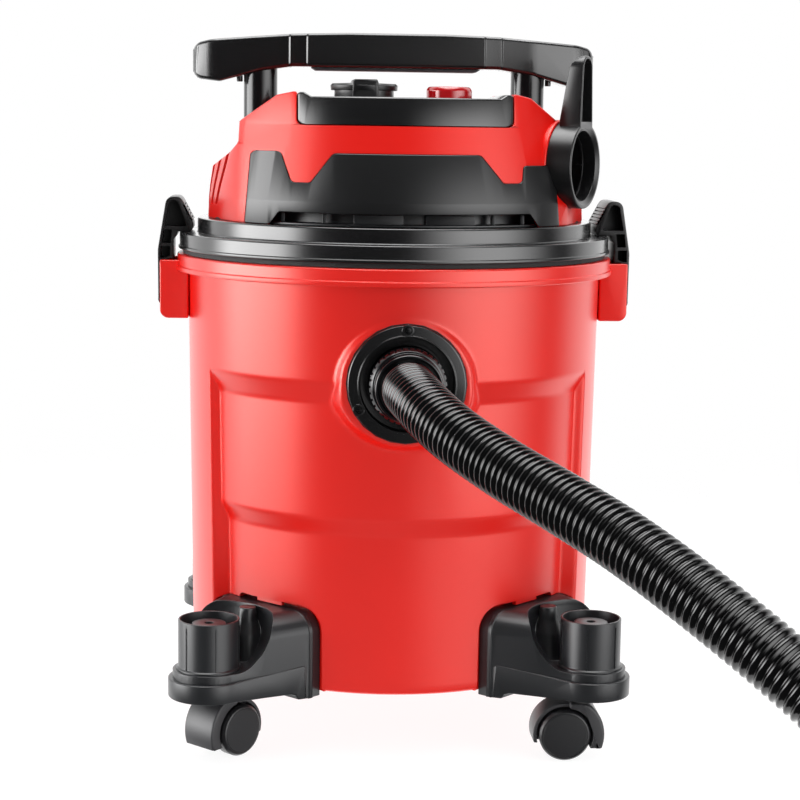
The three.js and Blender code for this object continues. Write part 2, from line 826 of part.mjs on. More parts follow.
function rearFascia() {
  return turnedRound(fasciaShell()).subtract(glandRod(gland.radius + gap));
}

function cableGland() {
  const face = headRadius + fascia.proud + gap;
  return aimed(turned([
    [gland.bore, face - gland.length + 8],
    [gland.radius, face - gland.length + 8],
    [gland.radius, face],
    [gland.flangeRadius, face],
    [gland.flangeRadius, face + 3],
    [gland.radius - 1, face + 5],
    [gland.radius - 2, face + 8],
    [gland.bore, face + 8],
  ], small), 180, lidTop + gland.height);
}

// The ring of ribs behind the exhaust gaps.
function exhaustGrille() {
  const inner = stepRadius - 24;
  const low = lidTop + gap;
  let made = solid(turned([
    [inner, low],
    [headRadius - 6, low],
    [headRadius - 6, low + 1.5],
    [inner, low + 1.5],
  ]));
  for (const side of [0, 1]) {
    for (let i = -4; i <= 4; i++) {
      const rib = box(-1.2, 1.2, -headRadius + 7, -inner - 1, low + 1, low + 9);
      made = made.add(solid(rib.rotateZ(THREE.MathUtils.degToRad(180 * side + 8 * i))));
    }
  }
  return made.intersect(headForm(head.wall + slack));
}

function controlPanel() {
  const half = panelHalf;
  const ear = panelTop + 3.2;
  const face = mirrored([
    [half, panelBottom, 4],
    [half, ear, 2],
    [half - 5, ear, 1],
    [half - 10.5, panelTop, 1],
  ]);
  const hollow = mirrored([
    [half - panel.wall, panelBottom - 5],
    [half - panel.wall, panelTop - panel.wall],
  ]);
  const outer = headCone(0).intersect(front(face, panel.back));
  const inner = headCone(-panel.wall).intersect(front(hollow, panel.back + panel.wall));
  const [knobY, buttonY] = [controlY(knob), controlY(button)];
  return outer
    .subtract(inner)
    .subtract(solid(rod(spindle.radius + slack, panelTop - 9, far * 2).translate(knob.x, knobY, 0)))
    .subtract(solid(rod(button.radius + slack, panelTop - 9, far * 2, medium).translate(button.x, buttonY, 0)));
}

// How far back a control stands.
function controlY(control) {
  return -panel.back - control.back;
}

// An outline seen from the front, extruded forward from a distance before the middle plane.
function front(points, distance) {
  return solid(prism("xz", points, -far, -distance));
}

const switchTop = panelBottom + 9;

// The switch housing that stands on the head under the panel.
function switchBox() {
  const [y, half] = [controlY(knob), 22];
  const block = solid(box(knob.x - 30, button.x + 24, y - half, y + half, panelBottom, switchTop));
  const spindleHole = rod(spindle.radius + slack, panelBottom + 2, far).translate(knob.x, y, 0);
  const stemHole = rod(stem.radius + slack, panelBottom + 1, far).translate(button.x, controlY(button), 0);
  return block.subtract(solid(spindleHole)).subtract(solid(stemHole));
}

function powerKnob() {
  const low = panelTop + gap;
  const capLow = low + knob.neck;
  const disc = solid(turned([
    [0, low],
    [knob.neckRadius, low],
    [knob.neckRadius, capLow],
    [knob.capRadius - 0.8, capLow],
    [knob.capRadius, capLow + 0.8],
    [knob.capRadius, capLow + knob.cap - 1.5],
    [knob.capRadius - 1.5, capLow + knob.cap],
    [0, capLow + knob.cap],
  ], medium));
  const bar = solid(box(-knob.bar / 2, knob.bar / 2, -40, 40, low, capLow + knob.cap + 2.9));
  const trimmed = bar.intersect(solid(rod(knob.capRadius + 0.4, low, far * 2, medium)));
  const pin = solid(rod(spindle.radius, switchTop - 6, low + 1));
  return disc.add(trimmed).add(pin);
}

const stem = { radius: 5, length: 10.5 };

function startButton() {
  const flangeTop = panelTop - panel.wall - gap;
  const flangeLow = flangeTop - 3;
  const top = panelTop + button.rise;
  return turned([
    [0, flangeLow - stem.length],
    [stem.radius, flangeLow - stem.length],
    [stem.radius, flangeLow],
    [button.radius + button.flange, flangeLow],
    [button.radius + button.flange, flangeTop],
    [button.radius, flangeTop],
    [button.radius, top - 4],
    [button.radius - 3, top - 0.8],
    [0, top],
  ], medium);
}

// ---------- Blower port with its cord hook ----------

function sidePort() {
  const low = headRadius - port.in;
  const face = headRadius + port.out;
  const bore = port.radius - port.wall;
  const barrel = solid(turned([
    [bore, low],
    [port.radius, low],
    [port.radius, face - port.ring],
    [portRing, face - port.ring + 1],
    [portRing, face - 1],
    [portRing - 1, face],
    [bore + 1, face],
    [bore, face - 1],
    [bore, face - 12],
    [bore - 1.5, face - 12],
    [bore - 1.5, face - 14],
    [bore, face - 14],
  ], medium));
  const fin = [
    [-hook.width / 2, bore + 1],
    [hook.width / 2, bore + 1],
    [hook.width / 2, port.radius + 4],
    [hook.topWidth / 2, hook.rise, hook.topWidth / 2],
    [-hook.topWidth / 2, hook.rise, hook.topWidth / 2],
    [-hook.width / 2, port.radius + 4],
  ];
  const pocket = grown(fin, -hook.wall).map(([a, b, r]) => [a, Math.max(b, portRing + 1), r]);
  const arch = solid(prism("xy", fin, face - hook.depth, face));
  const hollow = solid(prism("xy", pocket, face - hook.depth + hook.wall, face + 1));
  return solid(aimed(geometryOf(barrel.add(arch.subtract(hollow))), port.azimuth, lidTop + port.height));
}

// ---------- Handle ----------

const barTop = lidTop + handle.height;
const barUnder = barTop - 27.7;

function handleTube(side) {
  const low = lidTop + head.deck - handle.tubeSocket + gap;
  const top = barUnder - 4 + handle.tubeEntry;
  return solid(rod(handle.tubeRadius, low, top, medium).translate(side * handle.tubeX, handle.tubeY, 0));
}

function handleBar() {
  const half = handle.halfLength;
  const face = mirrored([
    [84, barUnder],
    [111, barUnder - 4],
    [143, barUnder - 12.6, 6],
    [half, barUnder - 10, 9],
    [half, barTop - 10, 9],
    [half - 15, barTop - 6.5],
    [84, barTop - 1.6],
    [40, barTop - 0.3],
  ]);
  const depth = 2 * (handle.tubeRadius + handle.wall);
  const plan = mirrored([
    [84, 0],
    [97, 3],
    [half - 15, 13],
    [half, 22, 9],
    [half, depth + 8, 9],
    [half - 15, depth + 13],
    [97, depth + 3],
    [84, depth],
  ]);
  let made = solid(prism("xz", face, -far, far)).intersect(solid(prism("xy", plan, 0, far * 2)));
  for (const side of [-1, 1]) {
    const hole = rod(handle.tubeRadius + gap, 0, barUnder - 4 + handle.tubeEntry + gap, medium);
    made = made.subtract(solid(hole.translate(side * handle.tubeX, handle.tubeY, 0)));
    const nubX = handle.tubeX + handle.tubeRadius + handle.wall;
    const nub = rod(2.5, barUnder - 12.5, barUnder - 4).translate(side * nubX, handle.tubeY, 0);
    made = made.add(solid(nub));
  }
  return made;
}

function handleGrip() {
  const low = barUnder - gap - handle.gripDrop;
  return prism("xz", mirrored([
    [handle.gripHalf - 4, low],
    [handle.gripHalf, barUnder - gap],
  ]), 5, 29);
}

// ---------- Latches ----------

// A latch made for the right side, seen along the pin.
function latchBody() {
  const x = rimRadius;
  const z = rimTop;
  const under = lidShelf + gap;
  const teeth = [];
  const count = 5;
  for (let i = 0; i < count; i++) {
    const along = (k) => [x - 5.6 - k * 8.2, z + 43.5 - k * 18.5];
    const [a, b] = along(i / count);
    const [c, d] = along((i + 0.75) / count);
    teeth.push([a - 0.9, b + 0.4], [c - 0.9, d + 0.4], [c, d]);
  }
  const side = [
    [x + 13.5, z - latch.pinDrop],
    [x + 13.8, z + 3],
    [x + 6.4, z + 48.6, 6.5],
    [x - 3.9, z + 48.6, 6],
    ...teeth,
    [x - 14.4, z + 23.5],
    [x - 14.4, z + 20],
    [x - 12.4, under],
    [x - 2.2, under],
    [x - 0.9, under - 3.9],
    [x + 1.3, under - 6.4],
    [x + 1.3, z - latch.boxTop + gap + 0.4],
    [x + 6.5, z - latch.boxTop + gap + 0.4],
    [x + 6.5, z - latch.pinDrop],
  ];
  const half = latch.width / 2;
  const pocket = [
    [x - 9.5, z + 21.5, 1],
    [x + 8.4, z + 21.5, 1],
    [x + 4.2, z + 44.8, 3],
    [x - 1.6, z + 44.8, 3],
  ];
  const window = [
    [x + 4, z + 10],
    [x + 10, z + 10],
    [x + 9, z + 18.5],
    [x + 2.5, z + 18.5],
  ];
  let made = solid(prism("xz", side, -half, half));
  for (const [low, high] of [[-half - 1, -1], [1, half + 1]]) {
    made = made.subtract(solid(prism("xz", pocket, low, high)));
    made = made.subtract(solid(prism("xz", window, low, high)));
  }
  const pinX = x + latch.pinOut;
  const pinZ = z - latch.pinDrop;
  const knuckle = rod(latch.knuckle, -half, half).rotateX(Math.PI / 2).translate(pinX, 0, pinZ);
  const bore = rod(latch.pinRadius + 0.2, -far, far).rotateX(Math.PI / 2).translate(pinX, 0, pinZ);
  return made.add(solid(knuckle)).subtract(solid(bore));
}

function latchPin() {
  const pin = rod(latch.pinRadius, -25.3, latch.boxHalf - 1.3, 12).rotateX(Math.PI / 2);
  return solid(pin.translate(rimRadius + latch.pinOut, 0, rimTop - latch.pinDrop));
}

// ---------- Feet ----------

// A foot with +X outward along the tank's diagonal and its cup on the Z axis.
function footBody() {
  const back = pocketFlat + gap - footAxis;
  const half = foot.pocketHalf - 1;
  const nose = (radius) => {
    const steps = 8;
    const from = -84;
    return Array.from({ length: steps + 1 }, (_, i) => {
      const angle = THREE.MathUtils.degToRad(from - (2 * from * i) / steps);
      return [radius * Math.cos(angle), radius * Math.sin(angle)];
    });
  };
  const lower = [
    ...nose(foot.noseRadius),
    [back + 38.7, 38.7],
    [back + 7.3, half - 2.3],
    [back, half + 0.3],
    [back, -half - 0.3],
    [back + 7.3, 2.3 - half],
    [back + 38.7, -38.7],
  ];
  const upper = [
    ...nose(foot.ledgeRadius),
    [back + 33, 40.4],
    [back + 7.3, half - 2.8],
    [back, half - 0.2],
    [back, 0.2 - half],
    [back + 7.3, 2.8 - half],
    [back + 33, -40.4],
  ];
  const seam = ledgeTop + 0.4;
  const flank = [
    [back, tankFloor - 3.8],
    [back + 11.3, tankFloor - 3.8, 1],
    [back + 13.3, tankFloor - 0.4],
    [back + 17.3, plateBottom - 0.2],
    [40, plateBottom],
    [40, plateTop],
    [3, plateTop + 0.3],
    [back + 7.3, seam],
    [back, seam],
  ];
  const plate = solid(prism("xy", lower, 0, far)).intersect(solid(prism("xz", flank, -far, far)));
  let shoulder = solid(prism("xy", upper, plateTop - 4, footTop));
  const [wide, narrow] = [upper.at(nose(1).length + 1), upper.at(nose(1).length)];
  const lean = Math.atan2(wide[1] - narrow[1], wide[0] - narrow[0]) + Math.PI;
  for (const side of [-1, 1]) {
    const section = [
      [-side * far, 0],
      [0, 0],
      [0, footTop, foot.edge],
      [-side * far, footTop],
    ];
    const rounding = prism("yz", section, -far, far, 6).rotateZ(side * lean);
    shoulder = shoulder.intersect(solid(rounding.translate(wide[0], side * wide[1], 0)));
  }
  const scoop = turned([
    [0, ledgeTop],
    [31, ledgeTop],
    [35.6, ledgeTop + 4],
    [43, ledgeTop + 14],
    [48, ledgeTop + 24.5],
    [49.8, ledgeTop + 33.7],
    [48.4, ledgeTop + 38],
    [48.4, far],
    [0, far],
  ], medium);
  let made = plate.add(shoulder.subtract(solid(scoop)));
  made = made.add(solid(rod(foot.cupRadius, ledgeTop - 1, cupTop, medium)));
  const ribs = 4;
  for (let i = 0; i < ribs; i++) {
    const rib = box(foot.cupRadius - 1, foot.cupRadius + 0.6, -0.6, 0.6, ledgeTop - 1, cupTop - 4);
    made = made.add(solid(rib.rotateZ((i * 2 * Math.PI) / ribs + 0.3)));
  }
  return made
    .subtract(solid(rod(foot.cupRadius - foot.cupWall, cupFloor, far, medium)))
    .add(solid(rod(foot.postRadius, cupFloor - 1, postTop, medium)))
    .subtract(solid(rod(castor.stemRadius + gap, 0, stemTop + gap)))
    .subtract(solid(rod(2, stemTop - 1, far)));
}

// ---------- Castors ----------

// A shape about Z turned to lie along the wheels' axle.
function onAxle(geometry) {
  return geometry.rotateX(Math.PI / 2).translate(-castor.trail, 0, castor.wheelRadius);
}

// The hood between the two wheels, with its swivel stem.
function castorHood() {
  const axleHeight = castor.wheelRadius;
  const [half, inside] = [castor.hoodHalf, castor.wheelInner - 0.4];
  const cover = solid(onAxle(rod(hoodRadius, -half, half, medium)));
  const nose = solid(rod(castor.noseRadius, 12, axleHeight + 22, 24));
  const cheek = solid(box(-castor.trail, 0, -half, half, 12, axleHeight + 22));
  const wheelWell = hoodRadius - castor.hoodWall;
  const below = solid(box(-far, far, -far, far, -5, 12));
  const behind = solid(box(-far, -castor.trail - 9, -far, far, -5, axleHeight - 3));
  return cover
    .add(nose)
    .add(cheek)
    .subtract(solid(onAxle(rod(wheelWell, inside, far, medium))))
    .subtract(solid(onAxle(rod(wheelWell, -far, -inside, medium))))
    .subtract(below)
    .subtract(behind)
    .add(solid(rod(7, axleHeight + 19, plateBottom - 0.4, small, 12)))
    .add(solid(rod(castor.stemRadius, axleHeight + 19, stemTop)))
    .subtract(solid(onAxle(rod(castor.axleRadius + gap, -far, far, 12))));
}

// One wheel: its closed face is on the outside, and its bore stops behind it.
function castorWheel(side) {
  const face = castor.wheelOuter;
  const shape = turned([
    [0, face - 2],
    [castor.axleRadius + gap, face - 2],
    [castor.axleRadius + gap, castor.wheelInner],
    [castor.wheelRadius - 1.5, castor.wheelInner],
    [castor.wheelRadius, castor.wheelInner + 1.5],
    [castor.wheelRadius, face - 1.5],
    [castor.wheelRadius - 1.5, face],
    [0, face],
  ], 16);
  if (side < 0) shape.rotateX(Math.PI);
  return solid(onAxle(shape));
}

function castorAxle() {
  return solid(onAxle(rod(castor.axleRadius, -castor.wheelOuter + 2.3, castor.wheelOuter - 2.3, 12)));
}

// ---------- Hose ----------

const cuffFace = flangeY + 28;

function hoseCuff() {
  const rimLow = cuffFace - cuff.sleeve - cuff.rim;
  const shape = turned([
    [cuff.bore, cuffFace - cuff.sleeve - cuff.rim - cuff.inside],
    [cuff.radius - 0.8, cuffFace - cuff.sleeve - cuff.rim - cuff.inside],
    [cuff.radius, rimLow - cuff.inside + 2],
    [cuff.radius, rimLow],
    [cuff.rimRadius, rimLow + 0.6],
    [cuff.rimRadius, rimLow + cuff.rim - 1.5],
    [cuff.rimRadius - 1.5, rimLow + cuff.rim],
    [cuff.sleeveRadius, rimLow + cuff.rim + 0.5],
    [cuff.sleeveRadius, cuffFace],
    [cuff.bore, cuffFace],
  ], medium);
  return solid(aimed(shape, 0, inletHeight));
}

// The middle line of the hose, from the cuff down to the floor and round to its end.
const hoseRoute = [
  [0, -cuffFace - gap, inletHeight],
  [0, -cuffFace - 14, inletHeight],
  [3, -232, 290.6],
  [9, -256, 285.5],
  [24, -291, 275],
  [52, -335, 260],
  [86, -384, 245],
  [119, -431, 229],
  [157, -481, 205],
  [200, -526, 173],
  [245, -563, 134],
  [295, -592, 94],
  [351, -611, 59],
  [411, -614, 34],
  [471, -597, 23],
  [524, -561, 20.8],
  [566, -508, 20.8],
  [587, -446, 20.8],
  [587, -380, 20.8],
  [566, -318, 20.8],
  [526, -266, 22],
  [474, -228, 23.8],
  [414, -206, 23.8],
];
const hoseLine = new THREE.CatmullRomCurve3(hoseRoute.map((point) => new THREE.Vector3(...point)));

function hoseTube() {
  const section = new THREE.Shape();
  const sides = 10;
  for (let i = 0; i < sides; i++) {
    const angle = (i * 2 * Math.PI) / sides;
    const at = [hoseRadius * Math.cos(angle), hoseRadius * Math.sin(angle)];
    if (i === 0) section.moveTo(...at);
    else section.lineTo(...at);
  }
  const options = { steps: 28, bevelEnabled: false, extrudePath: hoseLine };
  return solid(new THREE.ExtrudeGeometry(section, options));
}

// The rigid fitting at the free end of the hose, lying on the floor.
function hoseFitting() {
  const shape = turned([
    [hoseEnd.bore, gap],
    [hoseEnd.radius, gap],
    [hoseEnd.radius, hoseEnd.length],
    [hoseEnd.tipRadius, hoseEnd.length + hoseEnd.taperLength],
    [hoseEnd.bore, hoseEnd.length + hoseEnd.taperLength],
  ], 28);
  const along = hoseLine.getTangentAt(1).setZ(0).normalize();
  const turn = new THREE.Quaternion().setFromUnitVectors(new THREE.Vector3(0, 0, 1), along);
  const end = hoseLine.getPointAt(1);
  return solid(shape.applyQuaternion(turn).translate(end.x, end.y, end.z));
}

// ---------- The assembly ----------

place("tank", makeTank(), "red");
place("lid", solid(makeLid()), "black");
place("lid_seal", solid(lidSeal()), "rubber");
place("inlet_flange", inletFlange(), "black");
place("inlet_gasket", inletGasket(), "rubber");
for (const turn of [0, 1, 2]) place("inlet_screw_" + (turn + 1), solid(inletScrew(turn)), "steel");
place("inlet_deflector", inletDeflector(), "black");
place("motor", solid(motorHousing()), "steel");
place("motor_gasket", solid(motorGasket()), "rubber");
place("motor_rotor", motorRotor(), "steel");
place("filter_cage", filterCage(), "black");
place("cartridge_filter", solid(cartridgeFilter()), "paper");
place("filter_retainer", filterRetainer(), "black");
place("float_ball", floatBall(), "white");
place("head_shell", headShell(), "red");
place("front_fascia", frontFascia(), "black");
place("rear_fascia", rearFascia(), "black");
place("exhaust_grille", exhaustGrille(), "black");
place("control_panel", controlPanel(), "black");
place("switch_box", switchBox(), "black");
place("power_knob", powerKnob(), "black").position.set(knob.x, controlY(knob), 0);
place("start_button", solid(startButton()), "buttonRed").position.set(button.x, controlY(button), 0);
place("side_port", sidePort(), "black");
place("cable_gland", solid(cableGland()), "rubber");
place("handle_bar", handleBar(), "black");
place("handle_grip", solid(handleGrip()), "rubber");
place("handle_tube_left", handleTube(-1), "gloss");
place("handle_tube_right", handleTube(1), "gloss");

const latches = new THREE.Group();
vacuum.add(latches);
place("latch_right", latchBody(), "black", latches);
place("latch_pin_right", latchPin(), "steel", latches);
place("latch_left", latchBody(), "black", latches).rotation.z = Math.PI;
place("latch_pin_left", latchPin(), "steel", latches).rotation.z = Math.PI;

// Each corner: where it is, and which way its castor has swung.
const corners = [
  { name: "front_left", angle: -135, heading: 0 },
  { name: "front_right", angle: -45, heading: 45 },
  { name: "rear_right", angle: 45, heading: -20 },
  { name: "rear_left", angle: 135, heading: 60 },
];
for (const { name, angle, heading } of corners) {
  const corner = new THREE.Group();
  const turn = THREE.MathUtils.degToRad(angle);
  corner.rotation.z = turn;
  corner.position.set(footAxis * Math.cos(turn), footAxis * Math.sin(turn), 0);
  vacuum.add(corner);
  place("foot_" + name, footBody(), "charcoal", corner);
  const swivel = new THREE.Group();
  swivel.rotation.z = THREE.MathUtils.degToRad(heading);
  corner.add(swivel);
  place("castor_hood_" + name, castorHood(), "black", swivel);
  place("castor_axle_" + name, castorAxle(), "steel", swivel);
  place("wheel_a_" + name, castorWheel(1), "black", swivel);
  place("wheel_b_" + name, castorWheel(-1), "black", swivel);
}

place("hose_cuff", hoseCuff(), "black");
place("hose", hoseTube(), "gloss");
place("hose_end", hoseFitting(), "black");

export default vacuum;
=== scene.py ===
# %% [markdown]
# A shop vacuum, finished in Blender around its CAD frame
#
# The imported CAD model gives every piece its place, and the bodies that move. This lesson builds the
# pieces that show again with finer curves, rounded edges and real-looking plastics. Sizes are written
# in millimetres and turned to metres where a piece is made. The front, with the hose, faces -Y.

import math

import bpy
from mathutils import Matrix, Vector
from mathutils.bvhtree import BVHTree


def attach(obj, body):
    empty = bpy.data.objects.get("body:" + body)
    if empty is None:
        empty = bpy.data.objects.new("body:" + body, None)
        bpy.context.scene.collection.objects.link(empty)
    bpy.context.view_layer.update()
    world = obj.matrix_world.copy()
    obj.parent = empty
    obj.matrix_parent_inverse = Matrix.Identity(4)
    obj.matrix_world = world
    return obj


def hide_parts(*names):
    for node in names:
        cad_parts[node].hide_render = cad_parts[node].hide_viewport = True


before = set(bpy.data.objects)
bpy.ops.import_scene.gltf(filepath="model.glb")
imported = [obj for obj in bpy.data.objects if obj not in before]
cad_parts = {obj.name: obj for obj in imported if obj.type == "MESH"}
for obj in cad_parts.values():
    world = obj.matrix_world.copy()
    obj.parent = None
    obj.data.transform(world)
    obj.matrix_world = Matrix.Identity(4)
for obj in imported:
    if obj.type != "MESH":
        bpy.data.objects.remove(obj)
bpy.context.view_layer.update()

# %% [markdown]
# The camera stands where a photographer stands: a little left of the middle, one and a half metres
# away, looking slightly down through a long lens, so that upright lines stay nearly upright.

# %% Camera
camera_data = bpy.data.cameras.new("camera")
camera_data.lens = 87.75
camera_data.sensor_width = 36
camera = bpy.data.objects.new("camera", camera_data)
bpy.context.scene.collection.objects.link(camera)
camera.location = (-0.104, -1.5966, 0.4858)
look_down, look_aside, roll = (math.radians(angle) for angle in (8.15, 3.97, 0.83))
camera.rotation_mode = "QUATERNION"
camera.rotation_quaternion = (
    Matrix.Rotation(-look_aside, 3, "Z")
    @ Matrix.Rotation(math.pi / 2 - look_down, 3, "X")
    @ Matrix.Rotation(roll, 3, "Z")
).to_quaternion()
bpy.context.scene.camera = camera
bpy.context.scene.view_settings.view_transform = "Standard"
print("camera at", tuple(round(v, 3) for v in camera.location))

# %% [markdown]
# A few helpers stand for what one does by hand. An outline starts as a circle with as many corners as
# it needs, and each corner is moved to its place. It is then extruded to a block, or spun round the
# upright axis to a turned piece. Blocks are joined and cut with Boolean modifiers. Edges are eased with a
# Bevel modifier, after near doubles are welded and flat faces are joined, so that each bevel has room.

# %% Helpers: outlines, blocks and turned pieces
MM = 0.001
DOUBLES = 0.002


def deselect():
    if bpy.context.object and bpy.context.object.mode != "OBJECT":
        bpy.ops.object.mode_set(mode="OBJECT")
    bpy.ops.object.select_all(action="DESELECT")


def use(piece):
    deselect()
    piece.select_set(True)
    bpy.context.view_layer.objects.active = piece
    return piece


def edit_all(piece):
    """Opens a piece in edit mode, with everything selected."""
    use(piece)
    bpy.ops.object.mode_set(mode="EDIT")
    bpy.ops.mesh.select_all(action="SELECT")


def outline_of(name, places, fill="NGON"):
    """A circle whose corners are moved to places, in millimetres."""
    deselect()
    bpy.ops.mesh.primitive_circle_add(vertices=len(places), fill_type=fill)
    piece = bpy.context.object
    piece.name = name
    for corner, place in zip(piece.data.vertices, places):
        corner.co = Vector(place) * MM
    return piece


def tidy_mesh(piece):
    """Merges doubles and turns all faces outward."""
    edit_all(piece)
    bpy.ops.mesh.remove_doubles(threshold=DOUBLES * MM)
    bpy.ops.mesh.normals_make_consistent(inside=False)
    bpy.ops.object.mode_set(mode="OBJECT")
    return piece


def rounded(corners, steps=5):
    """An outline of (a, b) or (a, b, radius) corners with an arc of short steps at each radius."""
    places = []
    count = len(corners)
    for i, (a, b, *radius) in enumerate(corners):
        here = Vector((a, b))
        if not radius or radius[0] == 0:
            places.append(here)
            continue
        before = Vector(corners[i - 1][:2]) - here
        after = Vector(corners[(i + 1) % count][:2]) - here
        half = before.angle(after) / 2
        back = min(radius[0] / math.tan(half), before.length * 0.499, after.length * 0.499)
        reach = back * math.tan(half)
        middle = here + (before.normalized() + after.normalized()).normalized() * reach / math.sin(half)
        start = here + before.normalized() * back - middle
        end = here + after.normalized() * back - middle
        turn = start.angle_signed(end)
        for k in range(steps + 1):
            arm = start.copy()
            arm.rotate(Matrix.Rotation(-turn * k / steps, 2))
            places.append(middle + arm)
    return places


PLANES = {
    "xy": lambda a, b, c: (a, b, c),
    "xz": lambda a, b, c: (a, c, b),
    "yz": lambda a, b, c: (c, a, b),
}


def block(name, plane, corners, low, high, steps=5):
    """A rounded outline in a plane, extruded across it from low to high."""
    in_space = PLANES[plane]
    piece = outline_of(name, [in_space(a, b, low) for a, b in rounded(corners, steps)])
    edit_all(piece)
    move = Vector(in_space(0, 0, high - low)) * MM
    bpy.ops.mesh.extrude_region_move(TRANSFORM_OT_translate={"value": move})
    return tidy_mesh(piece)


def turned(name, profile, sides=128, steps=4):
    """A closed profile of (radius, height) corners, spun round the upright axis."""
    places = [(max(r, 0), 0, z) for r, z in rounded(profile, steps)]
    piece = outline_of(name, places, fill="NOTHING")
    edit_all(piece)
    bpy.ops.mesh.spin(steps=sides, angle=2 * math.pi, center=(0, 0, 0), axis=(0, 0, 1))
    return tidy_mesh(piece)


def rod(radius, low, high, sides=96, rounds=(0, 0), name="rod"):
    """An upright rod, with the rounds of its lower and its upper edge."""
    return turned(name, [(0, low), (radius, low, rounds[0]), (radius, high, rounds[1]), (0, high)], sides)


def rectangle(a, b, far_a, far_b, *radius):
    return [(a, b, *radius), (far_a, b, *radius), (far_a, far_b, *radius), (a, far_b, *radius)]


def mirrored(half):
    """The right half of an outline, bottom to top, with its mirror image."""
    return [*half, *([-a, *rest] for a, *rest in reversed(half))]


# %% Helpers: placing, cutting and finishing
WELD = 0.05
FLAT_ANGLE = 0.2
EDGE_ANGLE = 28
SPIKE = 0.6
HALF_TURN = (0, 0, 180)


def put(piece, turn=(0, 0, 0), at=(0, 0, 0)):
    """Turns a piece about the frame's axes, in degrees, and moves it, in millimetres."""
    angles = Matrix.Identity(4)
    for axis, angle in zip("XYZ", turn):
        angles = Matrix.Rotation(math.radians(angle), 4, axis) @ angles
    use(piece)
    piece.matrix_world = Matrix.Translation(Vector(at) * MM) @ angles
    bpy.ops.object.transform_apply(location=True, rotation=True, scale=True)
    return piece


def twin(piece, name, turn=(0, 0, 0), at=(0, 0, 0)):
    """A copy with its own mesh, turned and moved."""
    use(piece)
    bpy.ops.object.duplicate()
    bpy.context.object.name = name
    return put(bpy.context.object, turn, at)


def modify(piece, kind, **settings):
    """Adds one modifier and applies it."""
    use(piece)
    modifier = piece.modifiers.new(kind.lower(), kind)
    for key, value in settings.items():
        setattr(modifier, key, value)
    bpy.ops.object.modifier_apply(modifier=modifier.name)
    return piece


def combine(piece, operation, tools):
    for tool in tools:
        modify(piece, "BOOLEAN", object=tool, operation=operation, solver="MANIFOLD")
        bpy.data.objects.remove(tool)
    return piece


def cut(piece, *tools):
    return combine(piece, "DIFFERENCE", tools)


def join(piece, *tools):
    return combine(piece, "UNION", tools)


def keep(piece, *tools):
    return combine(piece, "INTERSECT", tools)


def discard(*tools):
    for tool in tools:
        bpy.data.objects.remove(tool)


def ease(piece, width, segments=3):
    """Rounds the edges that turn by more than EDGE_ANGLE, and shades the rest smooth.
    Where several edges meet, a bevel can throw a spike, so such a corner goes back to the old surface."""
    edit_all(piece)
    bpy.ops.mesh.remove_doubles(threshold=WELD * MM)
    bpy.ops.mesh.dissolve_limited(angle_limit=math.radians(FLAT_ANGLE))
    bpy.ops.object.mode_set(mode="OBJECT")
    before = BVHTree.FromObject(piece, bpy.context.evaluated_depsgraph_get())
    bevel = {"width": width * MM, "segments": segments, "use_clamp_overlap": False}
    modify(piece, "BEVEL", **bevel, limit_method="ANGLE", angle_limit=math.radians(EDGE_ANGLE))
    for corner in piece.data.vertices:
        nearest, _, _, distance = before.find_nearest(corner.co)
        if distance > SPIKE * width * MM:
            corner.co = nearest
    return smooth(piece)


def smooth(piece, angle=30):
    use(piece)
    bpy.ops.object.shade_smooth_by_angle(angle=math.radians(angle))
    return piece


# %% [markdown]
# The surfaces. A shop vacuum is moulded from polypropylene and ABS, filled with colour in the mass, so
# the colour is even and the skin takes the fine grain of the mould. The grain is a small noise in the
# bump and in the roughness, and it blurs every reflection into the soft sheen of such a plastic. Real
# grain is about 0.2 mm wide. It is drawn at 0.6 mm, as coarse as it needs to be to show. The two
# steels have the same fine unevenness, from rolling and plating.

# %% Helpers: colours and shader nodes
materials = {}


def linear(hexcode):
    """An sRGB hex colour as linear red, green, blue and alpha."""
    values = [int(hexcode[i : i + 2], 16) / 255 for i in (1, 3, 5)]
    return (*(v / 12.92 if v <= 0.04045 else ((v + 0.055) / 1.055) ** 2.4 for v in values), 1)


def dial(node, **settings):
    """Sets a node's properties and sockets by name."""
    for name, value in settings.items():
        if hasattr(node, name):
            setattr(node, name, value)
        else:
            node.inputs[name.replace("_", " ")].default_value = value


def add(material, kind, links=(), **settings):
    """Adds one node with its settings. Links say (output, socket name or number)."""
    tree = material.node_tree
    node = tree.nodes.new(kind)
    dial(node, **settings)
    for output, name in links:
        tree.links.new(output, node.inputs[name])
    return node


NO_TINT = (1, 1, 1, 1)
WARM_SHEEN = (1, 0.95, 0.86, 1)
CLOUDS_PER_METRE = 14
UNEVEN = 0.05


